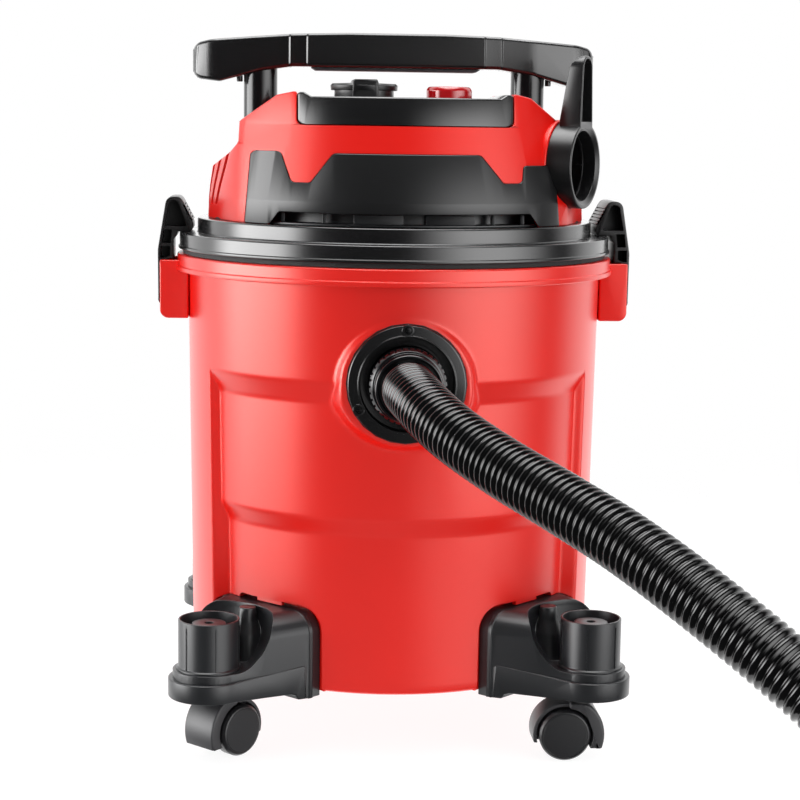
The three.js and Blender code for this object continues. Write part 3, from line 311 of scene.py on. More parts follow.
def surface(
    name, colour, roughness, grain=0.35, grain_mm=0.6, depth_mm=0.02, spread=0.06,
    coat=0.0, ior=1.49, tint=NO_TINT, metallic=0.0,
):
    """One colour in the mass with a slight cloudiness, under the fine grain that the mould left."""
    material = bpy.data.materials.new(name)
    material.use_nodes = True
    shader = material.node_tree.nodes["Principled BSDF"]
    dial(shader, IOR=ior, Specular_Tint=tint, Coat_Weight=coat, Coat_Roughness=0.12, Metallic=metallic)
    link = material.node_tree.links.new
    place = add(material, "ShaderNodeTexCoord").outputs["Object"]
    cloud = add(material, "ShaderNodeTexNoise", [(place, "Vector")], Scale=CLOUDS_PER_METRE, Detail=3)
    colours = add(material, "ShaderNodeMix", [(cloud.outputs["Fac"], 0)], data_type="RGBA")
    base = Vector(linear(colour)[:3])
    for socket, share in ((6, 1 - spread), (7, 1 + spread)):
        colours.inputs[socket].default_value = (*(base * share), 1)
    link(colours.outputs[2], shader.inputs["Base Color"])
    per_metre = 1 / (grain_mm * MM)
    speckle = add(material, "ShaderNodeTexNoise", [(place, "Vector")], Scale=per_metre, Detail=2)
    height = speckle.outputs["Fac"]
    spans = {"To_Min": roughness - UNEVEN, "To_Max": roughness + UNEVEN}
    rough = add(material, "ShaderNodeMapRange", [(height, "Value")], **spans)
    link(rough.outputs["Result"], shader.inputs["Roughness"])
    bump = add(material, "ShaderNodeBump", [(height, "Height")], Strength=grain, Distance=depth_mm * MM)
    link(bump.outputs["Normal"], shader.inputs["Normal"])
    materials[name] = material


def dress(piece, material):
    piece.data.materials.clear()
    piece.data.materials.append(materials[material])
    return piece


def settle(piece, body, slot_name, material, *nodes):
    """A finished piece: it gets its material, rides on its body and stands for its CAD nodes."""
    dress(piece, material)
    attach(piece, body)
    if nodes:
        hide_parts(*nodes)
    print(piece.name, len(piece.data.polygons), "faces")
    return piece


# %% The red and black plastics
# Polypropylene from a smooth mould: an even bright red, with a broad and slightly warm sheen.
surface("red_polypropylene", "#f0150c", 0.32, grain=0.3, ior=1.65, tint=WARM_SHEEN)
# ABS takes the mould's polish better: the same red with tighter highlights on its rounded edges.
surface("red_abs", "#f2150c", 0.3, grain=0.2, tint=WARM_SHEEN)
# Black ABS with a closed skin: deep black faces, and thin bright lines where the edges turn.
surface("black_abs", "#131314", 0.23, grain=0.2, coat=0.25)
# Black ABS from an etched mould: its grain spreads each highlight to a soft dark grey.
surface("black_fine_grain", "#161617", 0.3, grain=0.5, ior=1.46)
# Polypropylene filled to charcoal and moulded rough: matt, so the form shows in soft grey steps.
surface("charcoal_polypropylene", "#1e1f21", 0.36, grain=0.5)
# Black plastic from a mirror-polished tool: nearly black, with small sharp reflections.
surface("glossy_black", "#0d0d0f", 0.12, grain=0.05, spread=0.02)
# Polished red plastic under a clear skin: a darker red that mirrors the room.
surface("polished_red", "#cc141c", 0.12, grain=0.05, coat=0.3)
# Rubber-like plastic, moulded over the handle: grey, and dull enough to show no highlight.
surface("soft_grip", "#303134", 0.6, grain=0.6)
# Blown polyethylene: very dark and smooth, so each rib carries one fine bright line.
surface("hose_black", "#080809", 0.12, grain=0.05, spread=0.02, ior=1.42)
# Black ABS that hands have dulled: cloudier and a little greyer than the lid.
surface("worn_black_abs", "#171718", 0.36, grain=0.3, spread=0.15)
# Moulded nylon, scraped along walls: it has gone blotchy and grey.
surface("scuffed_nylon", "#303032", 0.45, grain=0.5, spread=0.25)
# Moulded nylon of the wheels, kept clean by rolling: a dark satin.
surface("wheel_nylon", "#19191b", 0.38, grain=0.3)

# %% Paint, rubber, paper and steel
# Gloss paint on drawn steel tube: black, with one long bright line down each tube.
surface("painted_steel_tube", "#0e0e10", 0.16, grain=0.05, spread=0.02, ior=1.42)
# A flat tan colour on the thin mark set in the groove of the knob's bar.
surface("pointer_tan", "#b58a52", 0.5)
# Moulded rubber: dull black that hardly shines.
surface("moulded_rubber", "#19191a", 0.7, grain=0.6)
# Unfilled white polypropylene: a milky white with a soft skin.
surface("white_polypropylene", "#efefec", 0.4, grain=0.3, spread=0.02)
# Felted filter paper: warm white, with fibres drawn at 1.5 mm so that they show.
surface("pleated_filter_paper", "#e6e1d2", 0.85, grain=0.8, grain_mm=1.5, depth_mm=0.2)
# Steel screws, blackened in a bath: dark, with a metal's glint on the rims of their slots.
surface("blackened_steel", "#151516", 0.32, grain=0.1, ior=1.5, metallic=0.6)
# Galvanised steel: pale grey metal with a soft, slightly broken mirror.
surface("galvanised_steel", "#b9bcc0", 0.34, grain=0.1, ior=1.5, metallic=1.0)
print("materials:", ", ".join(materials))

# %% [markdown]
# The tank is injected in one piece: a slightly tapered round wall with a recess in two steps at the
# front and rear, and a raised pad for the inlet. On a moulded part these forms run into each other with
# soft rounds. So the wall starts as a flat grid, and each of its points is moved to its place round the
# tank, where soft minimum and maximum blends make the rounds.

# %% Tank: the wall's form
TANK_FLOOR = 48.8
RIM_TOP = 378.0
RIM_R = 177.5
WALL_R = 163.1
TAPER = 0.0143
RECESS_HALF = 76
RECESS_BLEND = 2.2
INLET_Z = 292.6
PAD_Y = 167.3
PAD_R = 46.8
PAD_SLOPE = 20 / 12.4


def soft_max(a, b, k):
    h = max(k - abs(a - b), 0) / k
    return max(a, b) + h * h * k / 4


def soft_min(a, b, k):
    return -soft_max(-a, -b, k)


def ramp(z, z0, z1):
    return min(max((z - z0) / (z1 - z0), 0), 1)


def recess_depth(z):
    """How deep the recess lies at a height: a lower and an upper panel, with sloping steps."""
    around = (-2.0, -1.0, 0.0, 1.0, 2.0)
    depth = [12 - 5 * ramp(z + dz, 174, 186) - 7 * ramp(z + dz, 276, 291.2) for dz in around]
    return sum(depth) / len(depth)


def wall_radius(azimuth, z):
    """The wall's distance from the upright axis, at an azimuth in degrees from the front."""
    outer = WALL_R + TAPER * (z - TANK_FLOOR)
    radius = outer
    facing = abs(math.cos(math.radians(azimuth)))
    depth = recess_depth(z)
    if depth > 0.001 and facing > 0.3:
        side_wall = soft_min(outer, RECESS_HALF / facing, RECESS_BLEND)
        radius = min(soft_max(outer - depth, side_wall, RECESS_BLEND), outer)
    if abs(azimuth) < 40 and abs(z - INLET_Z) < 75:
        angle = math.radians(azimuth)
        across = math.hypot(radius * math.sin(angle), z - INLET_Z)
        pad = PAD_Y - soft_max(0, (across - PAD_R) * PAD_SLOPE, 2.6)
        radius = soft_max(radius, pad / math.cos(angle), 3)
    return radius


def banded(*bands):
    """Values from band to band, where each band says its start and the step within it."""
    values = []
    for (low, step), (high, _) in zip(bands, bands[1:]):
        count = max(round((high - low) / step), 1)
        values += [low + (high - low) * i / count for i in range(count)]
    return values


# %% Tank: the wall
def wrapped(name, columns, rows, place):
    """A flat grid, wrapped to a closed body: place says where each column of each row goes."""
    deselect()
    bpy.ops.mesh.primitive_grid_add(x_subdivisions=columns, y_subdivisions=rows - 1)
    piece = bpy.context.object
    piece.name = name
    for i, corner in enumerate(piece.data.vertices):
        row, column = divmod(i, columns + 1)
        corner.co = place(column % columns, row) * MM
    tidy_mesh(piece)
    edit_all(piece)
    bpy.ops.mesh.fill_holes(sides=0)
    bpy.ops.mesh.normals_make_consistent(inside=False)
    bpy.ops.object.mode_set(mode="OBJECT")
    print(name, "wrapped from", columns, "by", rows, "points")
    return piece


azimuths = banded(
    (-180, 1.2), (-126, 0.3), (-114, 1.2), (-66, 0.3), (-54, 1.0), (-25, 0.5),
    (25, 1.0), (54, 0.3), (66, 1.2), (114, 0.3), (126, 1.2), (180, 0),
)
levels = banded(
    (52.8, 4.5), (168, 1.1), (192, 4.0), (228, 1.8), (272, 1.1), (296, 1.8), (358, 8.6), (366.6, 0)
)
bottom_round = [(0.0, 4.0), (0.3, 2.5), (1.2, 1.2), (2.5, 0.3)]
heights = [(TANK_FLOOR + rise, inset) for rise, inset in bottom_round]
heights += [(z, 0) for z in levels + [366.6]]


def wall_point(column, row):
    z, inset = heights[row]
    radius = wall_radius(azimuths[column], max(z, TANK_FLOOR + 4)) - inset
    angle = math.radians(azimuths[column])
    return Vector((radius * math.sin(angle), -radius * math.cos(angle), z))


tank = wrapped("tank_shell", len(azimuths), len(heights), wall_point)

# %% [markdown]
# The rim is a turned-over edge that stiffens the mouth: a skirt that hangs outside the wall, with a
# fine rib round its foot. The latch boxes are hollow towers at both sides. They are made apart, with
# eased edges, and joined to the wall. Then the tank is hollowed with a turned core.

# %% Tank: rim, latch boxes and hollow
FAR = 400
SIDES = 192
rim = turned("rim", [
    (160, 366), (RIM_R - 0.6, 364.6), (RIM_R, 365.2, 0.6), (RIM_R, 368.3, 0.6),
    (RIM_R - 1.1, 368.9, 0.3), (RIM_R - 1.1, RIM_TOP, 1.6), (160, RIM_TOP),
], SIDES)
outline = [(166.6, 326), (189.5, 326, 7), (189.5, 372.8, 1.5), (166.6, 372.8)]
latch_box = ease(block("latch_box", "xz", outline, -26, 26, steps=8), 1.2)
latch_box = cut(latch_box, block("channel", "xz", rectangle(170.6, 333, 220, 374), -21.5, 21.5))
ease(latch_box, 0.5)
tank = join(tank, rim, twin(latch_box, "left_box", HALF_TURN), latch_box)
tank = cut(tank, turned("hollow", [
    (0, 51.8), (147, 51.8, 3), (147, 345, 4), (164.8, 352, 3), (164.8, 390), (0, 390),
], 96))
print("hollow tank", len(tank.data.polygons), "faces")

# %% [markdown]
# Each foot is plugged into a deep socket in the tank's lower edge. The tank is first filled inside, so
# that the socket has its own wall there. Then it is cut to the outline of the foot's root, with a fine
# gap all round, and to a wider mouth on the side where the wall stands back. A small tab stands out over
# the root.

# %% Tank: sockets for the feet
SOCKET_FLAT = 139
SOCKET_TOP = 115.8


def socket_shapes(side):
    """What is added and cut for a foot; side tells on which side of the foot the wall stands back."""
    mouth = [(-26, 60), (-26, SOCKET_TOP, 5), (55.6, SOCKET_TOP, 19), (55.6, 30), (20, 30), (20, 60)]
    mouth = [(side * x, *rest) for x, *rest in mouth]
    tab = [(side * x, z) for x, z in rectangle(-5.5, 112.7, 21, 117)]
    socket = block("socket", "xz", mirrored([(57, 49), (57, 122)]), -200, -SOCKET_FLAT + 6)
    return (
        keep(socket, rod(150.4, 40, 130, SIDES)),
        block("snug", "xz", mirrored([(53.1, 30), (53.1, 111.9, 17.4)]), -FAR, -SOCKET_FLAT, steps=10),
        block("mouth", "xz", mouth, -FAR, -SOCKET_FLAT, steps=10),
        block("tab", "xz", tab, -150.2, -147),
    )


for quarter in range(4):
    turn = (0, 0, 45 + 90 * quarter)
    socket, snug, mouth, tab = socket_shapes(-1 if quarter % 2 == 0 else 1)
    tank = join(tank, put(socket, turn))
    tank = cut(tank, put(snug, turn), put(mouth, turn))
    tank = join(tank, put(tab, turn))
tank = cut(tank, put(rod(37.4, 0, 60, 64), (90, 0, 0), (0, -120, INLET_Z)))
smooth(tank, 34)
settle(tank, "body", "red_plastic", "red_polypropylene", "tank")

# %% [markdown]
# The suction hose is blown from soft polyethylene in rings, which lets it bend without closing. It comes
# straight out of its cuff, drops to the floor in one easy curve, and turns round to a stiff fitting. Its
# middle line is one smooth curve through the points of the CAD route. A flat grid is wrapped round that
# line, and its radius swings between the rib's crest and the groove.

# %% Hose: its middle line
CUFF_FACE = 196.6
HOSE_R = 20.5
RIB_PITCH = 5.7
GROOVE = 2.1
RIB = [-GROOVE, -GROOVE * 0.35, 0, 0, -GROOVE * 0.35, -GROOVE]
route = [
    (0, -CUFF_FACE - 0.3, INLET_Z), (0, -CUFF_FACE - 14, INLET_Z), (3, -232, 290.6),
    (9, -256, 285.5), (24, -291, 275), (52, -335, 260), (86, -384, 245), (119, -431, 229),
    (157, -481, 205), (200, -526, 173), (245, -563, 134), (295, -592, 94), (351, -611, 59),
    (411, -614, 34), (471, -597, 23), (524, -561, 20.8), (566, -508, 20.8), (587, -446, 20.8),
    (587, -380, 20.8), (566, -318, 20.8), (526, -266, 22), (474, -228, 23.8), (414, -206, 23.8),
]


def smooth_line(points, steps):
    """A centripetal Catmull-Rom curve through points, with its places spread evenly along it."""
    spots = [Vector(p) for p in points]
    spots = [2 * spots[0] - spots[1], *spots, 2 * spots[-1] - spots[-2]]
    fine = []
    for a, b, c, d in zip(spots, spots[1:], spots[2:], spots[3:]):
        t1 = (b - a).length ** 0.5
        t2 = t1 + (c - b).length ** 0.5
        t3 = t2 + (d - c).length ** 0.5
        for k in range(40):
            t = t1 + (t2 - t1) * k / 40
            ab = a.lerp(b, t / t1)
            bc = b.lerp(c, (t - t1) / (t2 - t1))
            cd = c.lerp(d, (t - t2) / (t3 - t2))
            abc = ab.lerp(bc, t / t2)
            bcd = bc.lerp(cd, (t - t1) / (t3 - t1))
            fine.append(abc.lerp(bcd, (t - t1) / (t2 - t1)))
    fine.append(spots[-2])
    along = [0.0]
    for a, b in zip(fine, fine[1:]):
        along.append(along[-1] + (b - a).length)
    places, k = [], 0
    for i in range(steps + 1):
        want = along[-1] * i / steps
        while k < len(along) - 2 and along[k + 1] < want:
            k += 1
        places.append(fine[k].lerp(fine[k + 1], (want - along[k]) / (along[k + 1] - along[k])))
    return places, along[-1]


_, hose_length = smooth_line(route, 10)
ribs = round(hose_length / RIB_PITCH)
line, hose_length = smooth_line(route, ribs * len(RIB))
print("hose:", round(hose_length), "mm long with", ribs, "ribs")

# %% Hose: ribs along the line
AROUND = 36
side = Vector((1, 0, 0))
rings = []
for i, middle in enumerate(line):
    ahead = (line[min(i + 1, len(line) - 1)] - line[max(i - 1, 0)]).normalized()
    side = (side - ahead * side.dot(ahead)).normalized()
    rings.append((middle, side.copy(), ahead.cross(side)))


def rib_point(column, row):
    middle, across, up = rings[row]
    radius = HOSE_R + RIB[row % len(RIB)]
    angle = 2 * math.pi * column / AROUND
    return middle + radius * (across * math.cos(angle) + up * math.sin(angle))


hose = wrapped("hose_corrugated", AROUND, len(line), rib_point)
smooth(hose, 60)
settle(hose, "body", "gloss_black", "hose_black", "hose")

# %% [markdown]
# The fitting at the hose's free end is a stiff moulded tube: a ribbed grip that takes the hose, and a
# taper that plugs into a wand or a nozzle.

# %% Hose end
hose_end = turned("hose_end_fitting", [
    (16, 0.3), (23.5, 0.3, 1.0), (23.5, 62, 3), (19, 110, 0.8), (16, 110, 0.8),
], 96)
grooves = [turned("groove", rectangle(22.9, z, 24, z + 2.0), 96) for z in range(8, 52, 5)]
hose_end = cut(hose_end, *grooves)
ahead = (line[-1] - line[-2]).normalized()
ahead.z = 0
turn = Vector((0, 0, 1)).rotation_difference(ahead.normalized()).to_matrix().to_4x4()
use(hose_end)
hose_end.matrix_world = Matrix.Translation(line[-1] * MM) @ turn
bpy.ops.object.transform_apply(location=True, rotation=True, scale=True)
smooth(hose_end, 32)
settle(hose_end, "body", "black_plastic", "black_abs", "hose_end")

# %% [markdown]
# The inlet is a flange screwed to the tank's pad. It has a raised ring, and three screws in small
# bosses. The hose's cuff plugs into it: a stepped tube with a finely ribbed rim that gives the fingers a
# hold, and a narrower sleeve that grips the hose. Both are turned, because lathe-like steps are all that
# shows. One boss, one well and one notch are modelled, and copied round.

# %% Inlet flange and screws
FLANGE_Y = 168.6
FLANGE = 4.2
FACE = FLANGE_Y + FLANGE
SCREW_CIRCLE = 40.3
flange = turned("inlet_flange_ring", [
    (28.2, FLANGE_Y - 28), (33, FLANGE_Y - 28, 1), (33, FLANGE_Y - 8), (37.1, FLANGE_Y - 7),
    (37.1, FLANGE_Y), (44.2, FLANGE_Y, 0.3), (44.2, FACE, 1.4), (36.9, FACE, 0.4),
    (36.5, FACE + 1, 0.5), (35.3, FACE + 1, 0.5), (34.9, FACE - 7, 0.6), (28.2, FACE - 7, 0.8),
], 144)
spots = []
for angle in (0, 118, 240):
    around = math.radians(angle)
    spots.append((-SCREW_CIRCLE * math.sin(around), SCREW_CIRCLE * math.cos(around), 0))


def at_inlet(piece):
    """Lays a piece that was made upright to the front, at the inlet's height."""
    return put(piece, (90, 0, 0), (0, 0, INLET_Z))


boss = rod(4.6, FACE - 1, FACE + 0.9, 40, rounds=(0, 0.5))
well = rod(2.9, FACE - 0.6, FACE + 3, 32)
for spot in spots:
    flange = join(flange, twin(boss, "screw_boss", at=spot))
    flange = cut(flange, twin(well, "screw_well", at=spot))
discard(boss, well)
smooth(at_inlet(flange), 34)
settle(flange, "body", "black_plastic", "black_abs", "inlet_flange")

screw = turned("inlet_screw", [
    (0, FACE - 7), (1.6, FACE - 7), (1.6, FACE - 0.3), (2.7, FACE - 0.3), (2.7, FACE + 0.5, 0.7),
    (0, FACE + 0.9),
], 32)
for angle in (0, 90):
    slot = block("slot", "xz", rectangle(-1.7, FACE - 0.1, 1.7, FACE + 2), -0.3, 0.3)
    screw = cut(screw, put(slot, (0, 0, angle)))
smooth(screw, 34)
for i, spot in enumerate(spots, 1):
    one = at_inlet(twin(screw, f"inlet_screw_head_{i}", at=spot))
    settle(one, "body", "steel", "blackened_steel", f"inlet_screw_{i}")
discard(screw)

# %% Hose cuff
RIBS_ROUND = 36
cuff = turned("hose_cuff_plug", [
    (18.5, 150), (27, 150, 1), (27.8, 152), (27.8, 176.9), (28.8, 177.5, 0.4), (28.8, 183.5, 1.0),
    (26.6, 186.9, 0.6), (25.2, 187.2, 0.4), (25.2, CUFF_FACE + 2.4, 1.3), (22.6, CUFF_FACE + 2.4, 1.0),
    (22.2, CUFF_FACE + 0.1), (18.5, CUFF_FACE + 0.1),
], 144)
notch = block("notch", "xy", rectangle(28.2, -0.9, 30, 0.9), 178.6, 190)
for i in range(RIBS_ROUND):
    cuff = cut(cuff, twin(notch, "rib_notch", (0, 0, 360 / RIBS_ROUND * i)))
discard(notch)
smooth(at_inlet(cuff), 34)
settle(cuff, "hose_cuff", "black_plastic", "glossy_black", "hose_cuff")

# %% [markdown]
# The lid is a turned black moulding: a skirt that enters the tank, a flange over the rim, and an upper
# step that carries the motor head. Every edge of its profile has a small round, which draws the thin
# bright lines that one sees on such a lid.

# %% Lid
lid = turned("lid_moulding", [
    (163, 372), (163, 382, 0.5), (175.5, 382, 0.6), (175.5, 384.2, 0.5), (174.5, 384.7, 0.3),
    (174.5, 395, 1.3), (160.6, 395, 1.0), (160, 395.8, 0.4), (160, 407, 1.8), (75, 407, 1),
    (75, 352, 2), (28, 352), (28, 349), (78, 349, 2), (78, 404, 1), (157, 404, 1), (157, 392, 1),
    (160, 372),
], SIDES)
smooth(lid, 34)
settle(lid, "body", "black_plastic", "black_abs", "lid")

# %% [markdown]
# The motor head is a red shell of ABS. Its front is a round tower with sloping shoulders and a flat
# facet at each corner, and a bulge with slanting air slots stands at each side. The form is cut from a
# turned cone by outlines seen from the front, the side and above. The shell is made twice, a wall apart,
# and the smaller one is taken out of the larger.

# %% Head: form
LID_TOP = 407.0
HEAD_R = 157.0
HEAD_HALF = 151.0
DECK = LID_TOP + 60.5
HEAD_TOP = LID_TOP + 99.6
ABOVE = 700
TOWER_FOOT = 121.5
TOWER_SHOULDER = 126.4
WALL = 3.5
PORT_AZIMUTH = 60.2
PORT_Z = LID_TOP + 46
GLAND_Z = LID_TOP + 22
TUBE_X, TUBE_Y, TUBE_R = 109.6, 21.0, 13.75


def head_cone(name, offset, low=LID_TOP):
    """The head's round front and rear, moved out by an offset."""
    top = HEAD_TOP + max(offset, 0)
    profile = [
        (0, low), (HEAD_R + offset, low), (HEAD_R - 0.5 + offset, LID_TOP + 18, 2.5),
        (HEAD_R - 8.5 + offset, LID_TOP + 55, 30), (HEAD_R - 13 + offset, LID_TOP + 75, 30),
        (HEAD_R - 17 + offset, top), (0, top),
    ]
    return turned(name, profile, SIDES)


def corner_facet(side, inset):
    """The block outside the flat facet at a front corner of the head."""
    edge = HEAD_R - 1.9 - inset
    outside = [
        (-edge - 0.2, LID_TOP - 5), (-edge, LID_TOP + 17, 4), (-edge + 8.6, LID_TOP + 55, 20),
        (-edge + 13.2, LID_TOP + 75, 20), (-edge + 17.2, HEAD_TOP + 5), (-FAR, HEAD_TOP + 5),
        (-FAR, LID_TOP - 5),
    ]
    return put(block("facet", "yz", outside, -60, 60), (0, 0, side * 47))


def side_bulges(inset, low):
    """Both side bulges in one block: a plan that draws in as it rises, under a sloping roof."""
    half = HEAD_HALF
    right = [(120, -115.7), (half, -25.1, 22), (half, 25.1, 22), (118, 96)]
    levels = [(half, low), (150.3, LID_TOP + 17), (149.4, LID_TOP + 27), (147.2, LID_TOP + 43)]
    levels.append((145, DECK + 1))
    share, height = (levels[0][0] - inset) / half, low
    bulges = outline_of("bulges", [(a * share, b * share, low) for a, b in rounded(mirrored(right))])
    edit_all(bulges)
    for reach, next_height in levels[1:]:
        next_share = (reach - inset) / half
        move = (0, 0, (next_height - height) * MM)
        bpy.ops.mesh.extrude_region_move(TRANSFORM_OT_translate={"value": move})
        narrower = next_share / share
        bpy.ops.transform.resize(value=(narrower, narrower, 1), center_override=(0, 0, 0))
        share, height = next_share, next_height
    tidy_mesh(bulges)
    roof = [
        (half + 5, low), (half + 5, LID_TOP + 41 - inset), (half - 3.5, LID_TOP + 41 - inset, 4),
        (133.6 - inset, LID_TOP + 52.2 - inset, 8), (TOWER_SHOULDER + 0.2 - inset, DECK - inset),
    ]
    return keep(bulges, block("roof", "xz", mirrored(roof), -FAR, FAR))


def head_form(name, inset):
    low = LID_TOP - 1 if inset > 0 else LID_TOP
    tower = [
        (TOWER_FOOT - inset, low), (TOWER_SHOULDER - inset, DECK - inset, 4),
        (TOWER_SHOULDER - 0.9 - inset, LID_TOP + 77 - inset, 4),
        (97 - inset, HEAD_TOP - 2.6 - inset, 4), (84.5 - inset, HEAD_TOP - inset, 4),
    ]
    back = -1 - inset
    flank = [
        (-FAR, low), (FAR, low), (FAR, DECK - 15 - inset), (HEAD_R - 18 - inset, DECK - 15 - inset, 6),
        (HEAD_R - 57, DECK - inset, 10), (back, DECK - inset, 3), (back, HEAD_TOP + 5),
        (-FAR, HEAD_TOP + 5),
    ]
    middle = keep(
        head_cone(name, -inset, low),
        block("tower", "xz", mirrored(tower), -FAR, FAR),
        block("flank", "yz", flank, -FAR, FAR),
    )
    return cut(join(middle, side_bulges(inset, low)), corner_facet(-1, inset), corner_facet(1, inset))


def at_port(piece):
    """Lays a piece that was made upright to the blower port's direction."""
    return put(piece, (90, 0, PORT_AZIMUTH), (0, 0, PORT_Z))


def rod_at(radius, low, high, x, y, sides=64):
    return put(rod(radius, low, high, sides), at=(x, y, 0))


def gland_hole():
    return put(rod(9.3, 97, 217, 64), (90, 0, 180), (0, 0, GLAND_Z))


# %% Head: trim outline and air slots
FASCIA = [
    (-TOWER_FOOT + 0.5, LID_TOP + 0.3), (-102.5, LID_TOP + 0.3), (-95, LID_TOP + 10, 3),
    (95, LID_TOP + 10, 3), (102.5, LID_TOP + 0.3), (TOWER_FOOT - 0.5, LID_TOP + 0.3),
    (116.5, LID_TOP + 46.3, 3), (89.5, LID_TOP + 46.3, 3), (88.5, LID_TOP + 33, 4),
    (73, LID_TOP + 33, 4), (55, LID_TOP + 54, 5), (-55, LID_TOP + 54, 5), (-72, LID_TOP + 32, 4),
    (-86, LID_TOP + 32, 4), (-94, LID_TOP + 55, 5), (-116.5, LID_TOP + 55, 5),
]


def grown(corners, distance):
    """A closed outline, running counterclockwise, moved outward by a distance."""
    moved = []
    count = len(corners)
    for i, (a, b, *radius) in enumerate(corners):
        here = Vector((a, b))
        into = (here - Vector(corners[i - 1][:2])).normalized()
        away = (Vector(corners[(i + 1) % count][:2]) - here).normalized()
        move = Vector((into.y + away.y, -into.x - away.x)) * distance / (1 + into.dot(away))
        turning = into.cross(away)
        size = radius[0] + (distance if turning > 0 else -distance) if radius else 0
        moved.append((a + move.x, b + move.y, max(size, 0)))
    return moved


AIR_SLOTS = [(62, 55.5, 47, 41.5, 53.5), (45, 39, 35.5, 31, 49), (31, 26.5, 26.5, 23, 45.5)]


def air_slot(near_top, far_top, near_foot, far_foot, top, end):
    """One slot in the left side bulge: it leans forward as it rises, and opens through the edge above."""
    corners = [
        (end * near_foot, LID_TOP + 11, 0.8), (end * far_foot, LID_TOP + 11, 0.8),
        (end * far_top, LID_TOP + top), (end * near_top, LID_TOP + top),
    ]
    return block("air_slot", "yz", corners, -FAR, -TOWER_SHOULDER - 2)


def exhaust_gap():
    corners = [(-103, LID_TOP - 1), (103, LID_TOP - 1), (95, LID_TOP + 11.5), (-95, LID_TOP + 11.5)]
    return block("exhaust_gap", "xz", corners, -FAR, -40)


# %% Head: shell
PANEL_HALF = 81.5
PANEL_BOTTOM = HEAD_TOP - 24.3
head = head_form("head_housing", 0)
notch = [
    (-PANEL_HALF - 0.5, PANEL_BOTTOM - 0.5, 4.5), (PANEL_HALF + 0.5, PANEL_BOTTOM - 0.5, 4.5),
    (PANEL_HALF + 0.5, ABOVE), (-PANEL_HALF - 0.5, ABOVE),
]
head = cut(head, block("notch", "xz", notch, -FAR, -7.7))
sill = [(-76, HEAD_TOP - 4), (76, HEAD_TOP - 4), (80, HEAD_TOP + 5), (-80, HEAD_TOP + 5)]
head = cut(head, block("sill", "xz", sill, -9, 0.5))
ease(head, 1.1)
boss = at_port(rod(35.2, 126, HEAD_R - 11.8))
ease(boss, 1.2)
head = join(head, boss)
inside = head_form("inside", WALL)
roof = rectangle(-PANEL_HALF - 4, PANEL_BOTTOM - 4, PANEL_HALF + 4, ABOVE)
inside = cut(inside, block("roof", "xz", roof, -FAR, -4.2))
for side in (-1, 1):
    inside = cut(inside, rod_at(TUBE_R + WALL, 429, ABOVE, side * TUBE_X, TUBE_Y))
inside = cut(inside, at_port(rod(36.9, 126, HEAD_R + 9)))
head = cut(head, inside)
seat = cut(head_cone("seat", 8), head_cone("core", -1.9))
seat = keep(seat, block("window", "xz", grown(FASCIA, 0.45), -FAR, -40))
head = cut(head, twin(seat, "rear_seat", HALF_TURN), seat, exhaust_gap(), put(exhaust_gap(), HALF_TURN))
for side in (-1, 1):
    head = cut(head, rod_at(TUBE_R + 0.3, 432, ABOVE, side * TUBE_X, TUBE_Y))
for slot in AIR_SLOTS:
    head = cut(head, air_slot(*slot, -1), air_slot(*slot, 1))
    head = cut(head, put(air_slot(*slot, -1), HALF_TURN))
head = cut(head, at_port(rod(33.5, 117, 177)), gland_hole())
smooth(head, 30)
settle(head, "body", "red_plastic", "red_abs", "head_shell")

# %% [markdown]
# The trim shells lie flush in the head's front and rear. Each is a slice of the same cone, cut out with
# the trim's outline, so that it follows the head all over, with a fine dark gap round it.

# %% Front and rear trim
trim = cut(head_cone("front_trim", 0.6), head_cone("core", -1.6))
trim = keep(trim, block("outline", "xz", FASCIA, -FAR, -40))
rear_trim = twin(trim, "rear_trim", HALF_TURN)
trim = cut(trim, at_port(rod(33.6, 117, 197)))
rear_trim = cut(rear_trim, gland_hole())
for piece, node in ((trim, "front_fascia"), (rear_trim, "rear_fascia")):
    ease(piece, 0.7)
    settle(piece, "body", "black_plastic", "black_fine_grain", node)

# %% [markdown]
# Cooling air leaves the head through a low gap under the trim, front and rear. A ring stands in the gap,
# with a few wide posts in front of it, so that one sees dark slots and no way in. One post is made for
# each place, and its twin goes to the rear.

# %% Exhaust grille
GRILLE_FRONT = 149
grille = turned("grille_ring", [
    (136, 407.3), (151, 407.3), (151, 408.8, 0.4), (137.5, 408.8), (137.5, 418.6), (136, 418.6),
], SIDES)
posts = [(-61, 3), (-21, 37), (33, 37), (66, 3), (-92, 3), (90, 3)]
for x, width in posts:
    near = math.sqrt(GRILLE_FRONT**2 - x**2)
    corners = rectangle(x - width / 2, 408, x + width / 2, 416)
    post = block("post", "xz", corners, -near + 1 + width / 12, -near + 8)
    grille = join(grille, twin(post, "rear_post", HALF_TURN), post)
ease(grille, 0.3)
settle(grille, "body", "black_plastic", "charcoal_polypropylene", "exhaust_grille")

# %% [markdown]
# The control panel is a black cap that closes the notch in the tower's top. It has an upright ear at
# each side. The rotary switch's knob and the red start button stand on it. The knob has a raised bar
# that is hollow at both ends, and a small pointer set in the bar. The button is polished, so it mirrors
# the room.

